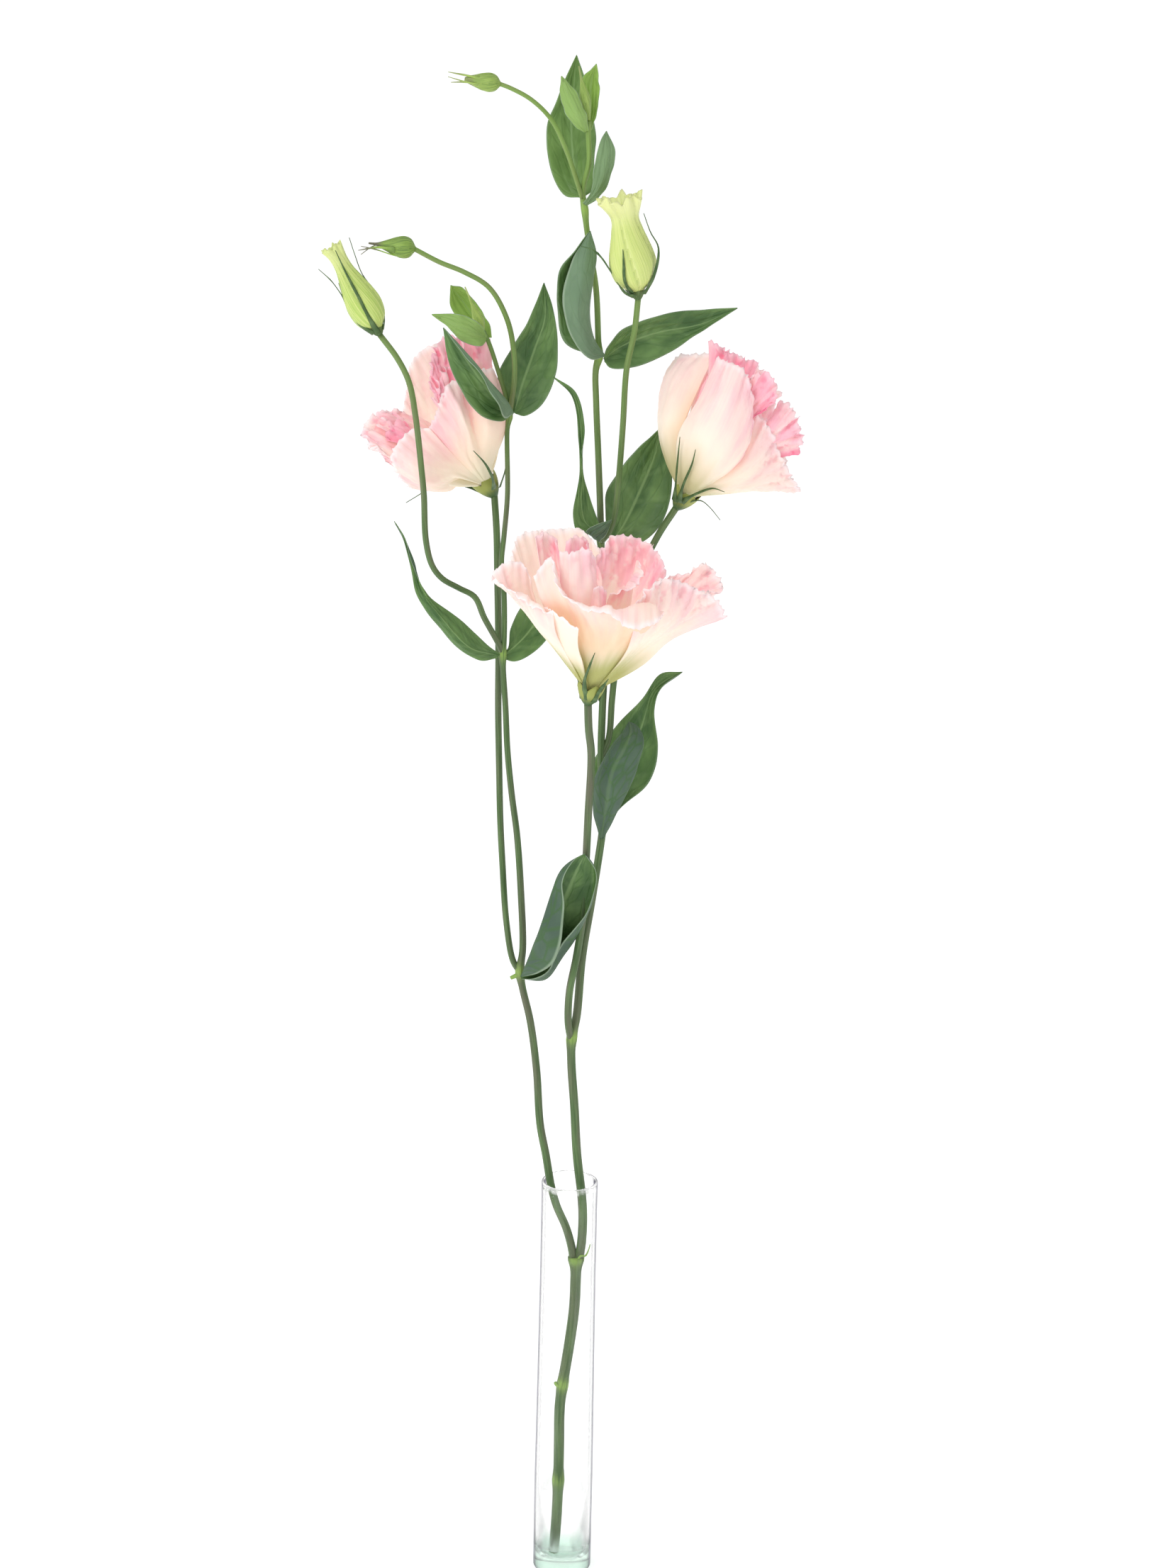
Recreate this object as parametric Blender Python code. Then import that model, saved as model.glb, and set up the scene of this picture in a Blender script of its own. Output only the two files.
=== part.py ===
"""A cut lisianthus (Eustoma) standing in a slim glass tube vase.

Lengths below are in millimetres and become metres in the meshes. +Z is up, -Y is the front,
and the origin is the middle of the vase's base.
"""

import math
from typing import NamedTuple

import bpy
from mathutils import Vector

MM = 0.001
GAP = 0.35  # clearance between pieces that touch in nature

# ---- vase and water ---------------------------------------------------------------------
VASE_HEIGHT = 160.0
VASE_BASE_RADIUS = 11.2
VASE_RIM_RADIUS = 10.6
VASE_WALL = 1.2
VASE_FLOOR = 5.4
VASE_SIDES = 40
WATER_LEVEL = 35.0

# ---- stems: name, route, radius at the foot, radius at the top, swollen nodes (height, extra) ----
STEM_SIDES = 8
FORK = Vector((3.0, -0.2, 128.0))
MAIN_STEM = [(-3.2, -0.5, VASE_FLOOR + GAP), (-2.4, -0.4, 20), (-2, -0.2, 36), (-2, 0, 52), (-2, 0, 67),
             (-1, 0, 77), (1, -0.1, 92), (2.7, -0.2, 108), (3, -0.2, 120), tuple(FORK)]
LEFT_BRANCH = [(1.25, -0.2, 128 + GAP), (1.2, -0.4, 133), (-1, -0.7, 141), (-4.8, -1, 150), (-7, -1, 158),
               (-9.2, 0, 170), (-11.6, 1, 182), (-13.3, 2, 203), (-16, 3, 222), (-19.2, 4, 235),
               (-20.2, 4, 241), (-19.3, 4, 250), (-20.3, 5, 271), (-22.1, 6, 293), (-24.4, 7, 309),
               (-26.2, 8, 325), (-27.2, 9, 341), (-28.6, 10, 361), (-28.2, 10, 367), (-28.5, 11, 384),
               (-29.6, 12, 395), (-28.8, 12, 405), (-27.8, 12, 420), (-28.2, 12, 445), (-27.5, 12, 449),
               (-28.3, 11.4, 454), (-31.2, 9, 464), (-35, 6, 476), (-37, 5, 480.5)]
RIGHT_BRANCH = [(4.8, -0.2, 128 + GAP), (4.9, -0.8, 135), (5.2, -2, 146), (4.6, -3.2, 155), (2.5, -4, 172),
                (1.1, -5, 192), (-0.3, -6, 209), (-0.4, -6, 219), (1.2, -5, 227), (2.8, -4, 250),
                (5.9, -3, 272), (9, -2, 296), (9.7, -1, 304), (8.6, 0, 317), (8.1, 1.2, 328),
                (8.2, 3.2, 343), (8.5, 6, 354), (8.3, 9, 367), (7.9, 12, 381), (7.1, 14, 394),
                (6.1, 14.5, 405), (6, 13.5, 411), (4.7, 11, 435), (3.5, 9, 455), (3.1, 8, 467),
                (4.2, 8, 472), (3.8, 7.8, 477), (2.6, 6, 496), (1.1, 4, 510), (-0.4, 3, 519),
                (-2, 2, 525), (-2.8, 1.8, 530), (-2.5, 0.6, 534), (-0.8, -3, 542), (-1.3, -4, 553),
                (-1.1, -4, 556.5)]
LEFT_FLOWER_STALK = [(-22.8, 4.7, 243.8), (-25.6, 6, 260), (-27.4, 9, 281), (-28.5, 11, 297), (-29.3, 12.4, 318),
                     (-30, 13.8, 340), (-30.2, 15.2, 360), (-30.6, 17.6, 372), (-31.2, 21.4, 388), (-31.8, 25, 403)]
LEFT_BUD_STALK = [(-30.4, 8.6, 364.5), (-35.4, 5, 376), (-38.8, 3, 384), (-44.6, 0, 388), (-50.4, -3, 392),
                  (-53.9, -5, 397), (-56.2, -8, 407), (-57, -10, 424), (-58, -12, 435), (-60.1, -13, 453),
                  (-62.5, -13, 465), (-66.6, -12, 473)]
LEFT_NODDING_STALK = [(-26.4, 10.8, 452), (-25.9, 7, 462), (-26.1, 4, 473), (-28.7, 0, 486), (-35.1, -3, 497.5),
                      (-43.8, -5, 503), (-52.5, -6, 506.5)]
CENTRE_FLOWER_STALK = [(-2.2, -8.2, 222.5), (-1.6, -9, 238), (0.7, -10, 252), (2.7, -12, 269), (3.5, -15, 292),
                       (3.9, -18, 309), (4.5, -22, 333), (3.4, -24, 343)]
RIGHT_FLOWER_STALK = [(10.7, 2.2, 331), (11.6, 4, 346), (12.3, 6, 354), (15.3, 10, 374), (21.2, 13, 393),
                      (27, 13.4, 406)]
YELLOW_BUD_STALK = [(9.1, 12, 405), (10.9, 8.5, 413), (12.2, 4, 429), (13.2, 0, 449), (14, -5, 470),
                    (16.4, -8.6, 484)]
TOP_NODDING_STALK = [(-4.2, -0.2, 531.5), (-8.5, -5, 545.5), (-14.1, -8, 557), (-21.1, -10, 564),
                     (-28.5, -11, 568)]

# ---- flowers: foot of the calyx, direction it opens, corolla outline (radius, height) at four bearings ----
# Bearings turn round the flower's own axis: 0 to the right, 90 to the back, 180 to the left, 270 to the front.
CENTRE_FLOWER = {
    "foot": (2.9, -25, 352.8), "axis": (0.14, -0.15, 0.98), "petal_bearing": 46,
    "outlines": {0: [(2.6, 5.6), (10, 12), (20, 21), (31, 30), (43, 38)],
                 90: [(2.6, 5.6), (8, 15), (15, 30), (22, 44), (30, 56)],
                 180: [(2.6, 5.6), (8, 13), (17, 23), (27, 33), (40, 43)],
                 270: [(2.6, 5.6), (8, 14), (16, 28), (22, 39), (28, 47)]},
}
LEFT_FLOWER = {
    "foot": (-33, 28, 416.4), "axis": (-0.57, 0.02, 0.82), "petal_bearing": 12,
    "outlines": {0: [(2.6, 5.6), (10, 10), (18, 19), (24, 31), (29, 44)],
                 90: [(2.6, 5.6), (10, 10), (17, 19), (22, 32), (26, 46)],
                 180: [(2.6, 5.6), (10, 9), (19, 16), (26, 29), (28, 45)],
                 270: [(2.6, 5.6), (10, 10), (17, 19), (21, 30), (24, 43)]},
}
RIGHT_FLOWER = {
    "foot": (33.4, 12, 416.8), "axis": (0.52, 0.0, 0.85), "petal_bearing": 44,
    "outlines": {0: [(2.6, 5.6), (9, 11), (17, 19), (25, 27), (34, 34)],
                 90: [(2.6, 5.6), (9, 13), (16, 27), (21, 41), (25, 54)],
                 180: [(2.6, 5.6), (10, 11), (20, 22), (27, 37), (24, 54)],
                 270: [(2.6, 5.6), (9, 13), (15, 26), (18, 39), (19, 51)]},
}
PETALS = 5
PETAL_HALF_ANGLE = 46.0  # degrees of the ring that half a petal covers
PETAL_LAP = 1.5  # how far a petal's leading edge stands outside its neighbour's trailing edge
PETAL_THICKNESS = 0.5
INNER_SCALE = 0.55  # the inner petals' crown, against the outer outline
CALYX_OUTLINE = [(1.4, 0.0), (2.9, 1.4), (4.0, 3.2), (4.4, 5.1)]
CALYX_SIDES = 10
SEPAL_REACH = 0.32  # how far up the corolla's outline a flower's sepals go

# ---- buds: foot, direction, outline of the closed corolla, sepal length along it ----
LEFT_BUD = {
    "foot": (-73, -10, 481), "axis": (-0.48, 0.0, 0.88),
    "outline": [(2.2, 3.9), (4.6, 6.5), (5.6, 11), (5.2, 16), (4.1, 21), (3.0, 26), (2.8, 30), (3.5, 35)],
}
YELLOW_BUD = {
    "foot": (17.4, -10, 495.5), "axis": (-0.18, 0.0, 0.98),
    "outline": [(2.4, 3.9), (6.3, 6.5), (7.8, 11.5), (7.5, 16), (6.4, 20.5), (5.2, 25), (4.4, 29), (6.4, 33),
                (7.6, 35.5)],
}
BUD_CALYX_OUTLINE = [(1.2, 0.0), (2.2, 1.0), (2.9, 2.3), (3.2, 3.5)]
BUD_SIDES = 10
# closed buds in one piece with their sepals: name, foot, direction, outline, sides
SMALL_BUDS = [
    ("left_nodding_bud", (-61.5, -6, 511), (-0.99, 0.0, 0.1),
     [(0.9, 0), (3.4, 1.2), (4.1, 3.5), (3.6, 7.5), (2.0, 11.5), (0.9, 14.5), (0.5, 19)]),
    ("top_nodding_bud", (-34.2, -11, 569.7), (-0.99, 0.0, 0.12),
     [(0.8, 0), (2.9, 1.0), (3.6, 3.0), (3.2, 6.5), (1.8, 10), (0.8, 12.5), (0.4, 16.5)]),
    ("left_tiny_bud", (-37.3, 4.7, 481), (-0.38, -0.12, 0.92),
     [(0.5, 0), (1.5, 2), (1.9, 4.5), (1.2, 7.5), (0.5, 11), (0.25, 17)]),
    ("top_tiny_bud", (-1.2, -4, 556.9), (-0.2, -0.1, 0.97),
     [(0.5, 0), (1.2, 3), (1.8, 7), (1.3, 10.5), (0.5, 14), (0.25, 19)]),
]

# ---- leaves ----
LEAF_THICKNESS = 0.5


class Leaf(NamedTuple):
    """A blade: its midrib, half its width, the way its upper face looks, and how its halves curl."""
    name: str
    midrib: list
    half_width: float
    foot_face: tuple  # the way the upper face looks at the foot
    tip_face: tuple  # and at the tip
    curl: tuple = (22, 22)  # degrees that the left and right halves curl towards the upper face
    taper: float = 0.95  # how soon the blade narrows to its tip


LEAVES = [
    Leaf("lower_left_rolled_leaf", [(-18.1, 2.2, 243), (-11, -8, 257), (-3, -14, 277), (4, -20, 293)], 16.5,
         (0.2, -1, -0.1), (0.2, -1, -0.1), (150, 105)),
    Leaf("middle_left_long_leaf", [(-30.2, 9, 361), (-39, 2, 362), (-47, -3, 370.5), (-55, -5, 381.5),
                                   (-58, -5, 387), (-62, -3, 399), (-68, 0, 412)], 7.5,
         (0.3, -0.75, 0.6), (0.9, -0.2, 0.4), (40, 40), 1.3),
    Leaf("middle_left_short_leaf", [(-26.8, 11.2, 361), (-20.5, 16, 366), (-16.5, 20, 375), (-12.5, 22, 384)], 6.5,
         (-0.2, -0.9, 0.4), (0.1, -0.95, 0.2)),
    Leaf("upper_left_broad_leaf", [(-25.6, 13.2, 449.5), (-22.5, 15.6, 460), (-19, 16.6, 471), (-17, 16, 484),
                                   (-16, 13, 497)], 10.5, (0, -1, 0.1), (0, -1, 0.1)),
    Leaf("upper_left_dark_leaf", [(-29, 10, 449), (-35, 1, 455), (-41, -3, 464), (-46, -4, 474), (-51, -4, 483)],
         8, (0.3, -0.9, 0.4), (0.5, -0.8, 0.3), (30, 80)),
    Leaf("left_cluster_front_leaf", [(-36.6, 3.6, 478.6), (-41, -2, 481), (-47, -5, 485), (-55, -6, 488)], 6,
         (0.2, 0.9, 0.45), (0.2, 0.9, 0.45), (35, 35)),
    Leaf("left_cluster_back_leaf", [(-36.2, 6.6, 477.4), (-39, 10, 484), (-44, 11, 491), (-49, 9, 498)], 6,
         (0.2, -0.95, 0.2), (0.2, -0.95, 0.2), (35, 35)),
    Leaf("lower_right_front_leaf", [(9.2, -3.8, 297), (11, -10, 311), (14, -12, 325), (18.5, -11, 338),
                                    (21.5, -8, 345)], 11.5, (0, 1, 0.1), (-0.3, 1, 0.1), (75, 75), 0.8),
    Leaf("lower_right_back_leaf", [(10.4, 1, 303), (16, 8, 317), (20.5, 10, 332), (24.5, 10, 346),
                                   (29, 9, 355), (37, 6, 357)], 13, (-0.2, -0.95, 0.2), (0, -0.9, 0.4),
         (15, 15), 1.5),
    Leaf("middle_right_twisted_leaf", [(4.4, 12.6, 407), (1, 8, 413), (-1, 8, 422), (-2, 8, 434), (-2, 8, 447),
                                       (-5, 8, 457), (-11, 9, 463)], 6, (0.5, -0.85, 0.2), (1, 0.1, 0.2),
         (35, 35)),
    Leaf("middle_right_small_leaf", [(6.2, 12.1, 404), (7, 7, 408), (10, 3, 414)], 4,
         (0.3, 0.9, 0.3), (0.3, 0.9, 0.3), (30, 30)),
    Leaf("middle_right_broad_leaf", [(8.2, 16, 405), (14, 17, 412), (18, 16.5, 420), (22, 17.5, 431),
                                     (27, 21, 444)], 10.5, (0.1, -0.95, 0.25), (0.1, -0.95, 0.25)),
    Leaf("upper_right_folded_leaf", [(3.4, 5.9, 471), (-3, -3, 477), (-6, -7, 490), (-5, -7, 503),
                                     (-2.6, -4, 512), (-1.4, -1, 520)], 8.5, (0.5, 0.85, 0), (0.5, 0.85, 0),
         (35, 95)),
    Leaf("upper_right_long_leaf", [(5, 8.6, 471), (11, 12, 474), (18, 13, 476.5), (28, 13, 480), (43, 12, 484),
                                   (53, 10, 490)], 9, (-0.1, -0.7, 0.7), (-0.1, -0.7, 0.7)),
    Leaf("top_broad_leaf", [(-4, 3.3, 528.6), (-7.5, 9, 540), (-8.5, 10, 552), (-7.5, 9, 565), (-6, 6, 578)], 9.8,
         (0.1, -1, 0), (0.1, -1, 0), (25, 25)),
    Leaf("top_narrow_leaf", [(-1.6, 0.4, 529), (4, -3, 536), (6, -4, 545), (5, -3, 553)], 5.5,
         (-0.6, 0.75, 0), (-0.6, 0.75, 0), (45, 45)),
    Leaf("top_cluster_left_leaf", [(-2.2, -5, 554), (-5, -8, 559), (-9, -8, 565), (-11, -7, 572)], 3.8,
         (0.3, 0.9, 0.1), (0.3, 0.9, 0.1), (35, 35)),
    Leaf("top_cluster_right_leaf", [(-0.4, -3, 554), (1, -0.5, 561), (1.4, 0, 568), (1.6, -2, 576)], 4,
         (-0.5, -0.8, 0), (-0.5, -0.8, 0), (40, 40)),
]

# ---- colours and finishes: base colour, roughness, transmission ----
GLASS = ("clear_glass", (0.86, 0.93, 0.89), 0.03, 1.0)
WATER = ("water", (0.93, 0.97, 0.96), 0.02, 1.0)
STEM = ("stem_green", (0.20, 0.28, 0.13), 0.5, 0.0)
LEAF = ("leaf_green", (0.10, 0.22, 0.07), 0.5, 0.0)
PETAL = ("petal_pink", (0.90, 0.60, 0.55), 0.6, 0.0)
BUD = ("bud_lime", (0.55, 0.66, 0.17), 0.5, 0.0)


def material(finish):
    """The material of one finish, made the first time it is asked for."""
    name, colour, roughness, transmission = finish
    found = bpy.data.materials.get(name)
    if found:
        return found
    made = bpy.data.materials.new(name)
    made.use_nodes = True
    shader = made.node_tree.nodes["Principled BSDF"]
    shader.inputs["Base Color"].default_value = (*colour, 1.0)
    shader.inputs["Roughness"].default_value = roughness
    shader.inputs["Metallic"].default_value = 0.0
    shader.inputs["Transmission Weight"].default_value = transmission
    return made


def add_object(name, vertices, faces, finish):
    """A named mesh object from vertices in millimetres."""
    mesh = bpy.data.meshes.new(name)
    mesh.from_pydata([Vector(v) * MM for v in vertices], [], faces)
    mesh.shade_smooth()
    mesh.materials.append(material(finish))
    piece = bpy.data.objects.new(name, mesh)
    bpy.context.scene.collection.objects.link(piece)
    return piece


def smooth_route(points, count):
    """Points evenly spaced, by length, on a smooth curve through the given ones."""
    points = [Vector(p) for p in points]
    points = [2 * points[0] - points[1], *points, 2 * points[-1] - points[-2]]
    fine = []
    for a, b, c, d in zip(points, points[1:], points[2:], points[3:]):
        for step in range(12):
            t = step / 12
            fine.append(0.5 * (2 * b + (c - a) * t + (2 * a - 5 * b + 4 * c - d) * t ** 2
                               + (3 * b - a - 3 * c + d) * t ** 3))
    fine.append(points[-2])
    lengths = [0.0]
    for p, q in zip(fine, fine[1:]):
        lengths.append(lengths[-1] + (q - p).length)
    even, k = [], 0
    for i in range(count + 1):
        target = lengths[-1] * i / count
        while k < len(lengths) - 2 and lengths[k + 1] < target:
            k += 1
        share = (target - lengths[k]) / (lengths[k + 1] - lengths[k])
        even.append(fine[k].lerp(fine[k + 1], share))
    return even


def directions(route):
    """The unit tangent at each point of a route."""
    last = len(route) - 1
    return [(route[min(i + 1, last)] - route[max(i - 1, 0)]).normalized() for i in range(last + 1)]


def tube(name, route, radii, finish):
    """A round closed tube with flat ends along a route."""
    vertices, faces = [], []
    side = Vector((1, 0, 0))
    for centre, along, radius in zip(route, directions(route), radii):
        side = (side - along * side.dot(along)).normalized()
        other = along.cross(side)
        for k in range(STEM_SIDES):
            turn = 2 * math.pi * k / STEM_SIDES
            vertices.append(centre + radius * (math.cos(turn) * side + math.sin(turn) * other))
    for i in range(len(route) - 1):
        for k in range(STEM_SIDES):
            a, b = i * STEM_SIDES + k, i * STEM_SIDES + (k + 1) % STEM_SIDES
            faces.append((a, b, b + STEM_SIDES, a + STEM_SIDES))
    top = (len(route) - 1) * STEM_SIDES
    faces.append(tuple(reversed(range(STEM_SIDES))))
    faces.append(tuple(range(top, top + STEM_SIDES)))
    return add_object(name, vertices, faces, finish)


def stem(name, points, foot_radius, top_radius, nodes=(), spacing=9.0):
    """A stem that tapers from foot to top and swells at its nodes."""
    length = sum((Vector(q) - Vector(p)).length for p, q in zip(points, points[1:]))
    route = smooth_route(points, max(4, round(length / spacing)))
    radii = []
    for i, p in enumerate(route):
        taper = foot_radius + (top_radius - foot_radius) * i / (len(route) - 1)
        swell = sum(extra * math.exp(-((p.z - height) / 3.5) ** 2) for height, extra in nodes)
        radii.append(taper + swell)
    return tube(name, route, radii, STEM)


def stalk(name, points, foot_radius, top_radius, foot_of_flower, axis):
    """A stalk that ends square under the flower or bud that it carries."""
    foot, axis = Vector(foot_of_flower), Vector(axis).normalized()
    return stem(name, [*points, foot - 4 * axis, foot - 1.5 * GAP * axis], foot_radius, top_radius, spacing=6.0)


def turned(name, outline, sides, finish, foot=(0, 0, 0), axis=(0, 0, 1)):
    """A solid of revolution with flat ends. The outline is (radius, height) from foot to top."""
    right, back, up = flower_frame(axis)
    vertices, faces = [], []
    for radius, height in outline:
        for k in range(sides):
            turn = 2 * math.pi * k / sides
            vertices.append(Vector(foot) + radius * (math.cos(turn) * right + math.sin(turn) * back) + height * up)
    for i in range(len(outline) - 1):
        for k in range(sides):
            a, b = i * sides + k, i * sides + (k + 1) % sides
            faces.append((a, b, b + sides, a + sides))
    faces.append(tuple(reversed(range(sides))))
    faces.append(tuple(range(len(vertices) - sides, len(vertices))))
    return add_object(name, vertices, faces, finish)


def flower_frame(axis):
    """Right, back and up directions of something that points along axis."""
    up = Vector(axis).normalized()
    right = Vector((0, 1, 0)).cross(up).normalized()
    return right, up.cross(right), up


def sheet(name, surface, rows, columns, thickness, finish):
    """A thin closed solid on both sides of surface(u, v), with u from 0 to 1 and v from -1 to 1."""
    grid = [[surface(i / rows, 2 * j / columns - 1) for j in range(columns + 1)] for i in range(rows + 1)]
    vertices = []
    for side in (0.5, -0.5):
        for i in range(rows + 1):
            for j in range(columns + 1):
                along = grid[min(i + 1, rows)][j] - grid[max(i - 1, 0)][j]
                across = grid[i][min(j + 1, columns)] - grid[i][max(j - 1, 0)]
                vertices.append(grid[i][j] + side * thickness * along.cross(across).normalized())
    wide = columns + 1
    under = (rows + 1) * wide
    faces = []
    for i in range(rows):
        for j in range(columns):
            a = i * wide + j
            faces.append((a, a + wide, a + wide + 1, a + 1))
            faces.append((under + a, under + a + 1, under + a + wide + 1, under + a + wide))
    border = [j for j in range(columns)] + [i * wide + columns for i in range(rows)]
    border += [rows * wide + j for j in range(columns, 0, -1)] + [i * wide for i in range(rows, 0, -1)]
    for a, b in zip(border, border[1:] + border[:1]):
        faces.append((a, b, under + b, under + a))
    return add_object(name, vertices, faces, finish)


def leaf(blade, rows=8, columns=4):
    """A leaf blade along its midrib, widest below the middle, its halves curled to the upper face."""
    route = smooth_route(blade.midrib, rows)
    along = directions(route)

    def surface(u, v):
        i = round(u * rows)
        face = Vector(blade.foot_face).lerp(Vector(blade.tip_face), u)
        face = (face - along[i] * face.dot(along[i])).normalized()
        side = along[i].cross(face)
        width = blade.half_width * blade_width(u, blade.taper)
        turn = math.radians(blade.curl[1] if v > 0 else blade.curl[0]) * (1 - 0.5 * u ** 3)
        across = width * math.sin(turn * abs(v)) / turn
        lift = width * (1 - math.cos(turn * abs(v))) / turn
        return route[i] + side * math.copysign(across, v) + face * lift

    return sheet(blade.name, surface, rows, columns, LEAF_THICKNESS, LEAF)


def blade_width(u, taper):
    """Width of an ovate blade along it, from 0 to 1, with a narrow foot and a pointed tip."""
    rise = 0.55
    widest = rise / (rise + taper)
    shape = (u ** rise * (1 - u) ** taper) / (widest ** rise * (1 - widest) ** taper)
    return max(shape, 0.12 if u < 0.5 else 0.04)


def corolla_point(flower, u, bearing):
    """A point on the corolla's cup: u from its foot to its rim, bearing in degrees."""
    quarter, share = divmod(bearing % 360, 90)
    first = flower["outlines"][int(quarter) * 90]
    second = flower["outlines"][(int(quarter) * 90 + 90) % 360]
    ease = 0.5 - 0.5 * math.cos(math.pi * share / 90)
    span = min(int(u * (len(first) - 1)), len(first) - 2)
    t = u * (len(first) - 1) - span
    radius, height = (_lerp(_lerp(first[span][k], first[span + 1][k], t),
                            _lerp(second[span][k], second[span + 1][k], t), ease) for k in (0, 1))
    return radius, height


def _lerp(a, b, t):
    return a + (b - a) * t


def on_flower(flower, radius, height, bearing):
    """Place a point given by radius, height and bearing round the flower's axis."""
    right, back, up = flower_frame(flower["axis"])
    turn = math.radians(bearing)
    return Vector(flower["foot"]) + radius * (math.cos(turn) * right + math.sin(turn) * back) + height * up


def petal_lap(u):
    """How far a petal's edge stands off the cup at a height share of u."""
    return PETAL_LAP * min(1, 0.15 + 2.2 * u)


def petal(name, flower, bearing):
    """One outer petal: a patch of the cup whose leading edge laps outside the next petal."""
    def surface(u, v):
        height_share = u * (1 - 0.1 * v * v * u)
        spread = 1 - 0.42 * (1 - u) ** 3
        radius, height = corolla_point(flower, height_share, bearing + v * PETAL_HALF_ANGLE * spread)
        lap = v * petal_lap(u)
        return on_flower(flower, radius + 0.7 * lap, height - 0.7 * lap, bearing + v * PETAL_HALF_ANGLE * spread)

    return sheet(name, surface, 8, 6, PETAL_THICKNESS, PETAL)


def inner_petals(name, flower):
    """The crown of inner petals, as one open cup inside the outer ones."""
    sides, rings, wall = 15, 4, 1.0
    vertices, faces = [], []
    for inside in (False, True):
        for i in range(rings + 1):
            u = i / rings
            for k in range(sides):
                bearing = 360 * k / sides
                radius, height = corolla_point(flower, u * 0.86, bearing)
                radius = max(INNER_SCALE * radius, 1.8) - (wall if inside else 0)
                wave = 1.5 * u * u * math.cos(math.radians(5 * bearing))
                lift = wall if inside and i == 0 else 0
                vertices.append(on_flower(flower, radius, height + lift + wave, bearing))
    layer = (rings + 1) * sides
    for i in range(rings):
        for k in range(sides):
            a, b = i * sides + k, i * sides + (k + 1) % sides
            faces.append((a, b, b + sides, a + sides))
            faces.append((layer + a, layer + a + sides, layer + b + sides, layer + b))
    for k in range(sides):
        a, b = rings * sides + k, rings * sides + (k + 1) % sides
        faces.append((a, b, layer + b, layer + a))
    faces.append(tuple(reversed(range(sides))))
    faces.append(tuple(range(layer, layer + sides)))
    return add_object(name, vertices, faces, PETAL)


def calyx(name, foot, axis, outline, sepal_paths, finish):
    """A calyx cup with its sepals drawn out of alternate sides. A sepal path is (radius, height) points."""
    holder = {"foot": foot, "axis": axis}
    vertices, faces = [], []
    for radius, height in outline:
        for k in range(CALYX_SIDES):
            vertices.append(on_flower(holder, radius, height, 360 * (k - 0.5) / CALYX_SIDES))
    rings = len(outline)
    for i in range(rings - 1):
        for k in range(CALYX_SIDES):
            a, b = i * CALYX_SIDES + k, i * CALYX_SIDES + (k + 1) % CALYX_SIDES
            quad = (a, b, b + CALYX_SIDES, a + CALYX_SIDES)
            if i == rings - 2 and k % 2 == 0:
                quad = draw_sepal(vertices, faces, quad, holder, 360 * k / CALYX_SIDES, sepal_paths[k // 2])
            faces.append(quad)
    faces.append(tuple(reversed(range(CALYX_SIDES))))
    faces.append(tuple(range((rings - 1) * CALYX_SIDES, rings * CALYX_SIDES)))
    return add_object(name, vertices, faces, finish)


def draw_sepal(vertices, faces, quad, holder, bearing, path):
    """Draw a side of the cup out along a path. Returns the small quad that closes its tip."""
    for step, (radius, height) in enumerate(path):
        share = (step + 1) / len(path)
        half = _lerp(0.9, 0.25, share)
        thick = _lerp(0.45, 0.2, share)
        sideways = math.degrees(half / radius)
        ring = []
        for turn, outer in ((-1, 1), (1, 1), (1, -1), (-1, -1)):
            ring.append(len(vertices))
            vertices.append(on_flower(holder, radius + outer * thick, height - outer * thick,
                                      bearing + turn * sideways))
        for a, b, c, d in zip(quad, quad[1:] + quad[:1], ring[1:] + ring[:1], ring):
            faces.append((a, b, c, d))
        quad = tuple(ring)
    return quad


def flower_sepal_path(flower, bearing):
    """The way a sepal runs up outside the corolla."""
    path = []
    for step in range(1, 5):
        u = 0.05 + SEPAL_REACH * step / 4
        radius, height = corolla_point(flower, u, bearing)
        clear = petal_lap(u) + 1.1
        path.append((radius + clear, height - 0.7 * clear))
    return path


def bud_sepal_path(outline):
    """The way a sepal runs up outside a closed bud."""
    return [(radius + 0.9, height) for radius, height in outline[1:6]]


def make_flower(prefix, flower, stalk_points, stalk_radii):
    stalk(prefix + "_stalk", stalk_points, *stalk_radii, flower["foot"], flower["axis"])
    paths = [flower_sepal_path(flower, 72 * k) for k in range(PETALS)]
    calyx(prefix + "_calyx", flower["foot"], flower["axis"], CALYX_OUTLINE, paths, STEM)
    for k in range(PETALS):
        petal(f"{prefix}_petal_{k + 1}", flower, flower["petal_bearing"] + 360 * k / PETALS)
    inner_petals(prefix + "_inner_petals", flower)


def make_bud(prefix, bud, stalk_points, stalk_radii):
    stalk(prefix + "_stalk", stalk_points, *stalk_radii, bud["foot"], bud["axis"])
    paths = [bud_sepal_path(bud["outline"]) for _ in range(PETALS)]
    calyx(prefix + "_calyx", bud["foot"], bud["axis"], BUD_CALYX_OUTLINE, paths, STEM)
    turned(prefix + "_petals", bud["outline"], BUD_SIDES, BUD, bud["foot"], bud["axis"])


def make_small_buds():
    for name, foot, axis, outline in SMALL_BUDS:
        turned(name, outline, STEM_SIDES, BUD, foot, axis)


def make_stems():
    stem("main_stem", MAIN_STEM, 1.9, 1.95, [(36, 0.4), (76, 0.3), (128.5, 1.1)], spacing=7.0)
    stem("left_branch", LEFT_BRANCH, 1.5, 0.6, [(241, 0.5), (361, 0.4), (449, 0.4)])
    stem("right_branch", RIGHT_BRANCH, 1.65, 0.5, [(219, 0.5), (304, 0.3), (405, 0.4), (472, 0.4), (530, 0.2)])
    for bud, points, radii in ((SMALL_BUDS[0], LEFT_NODDING_STALK, (0.85, 0.7)),
                               (SMALL_BUDS[1], TOP_NODDING_STALK, (0.75, 0.65))):
        stalk(bud[0] + "_stalk", points, *radii, bud[1], bud[2])


def make_leaves():
    for blade in LEAVES:
        leaf(blade, columns=8 if max(blade.curl) > 70 else 4)


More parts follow.
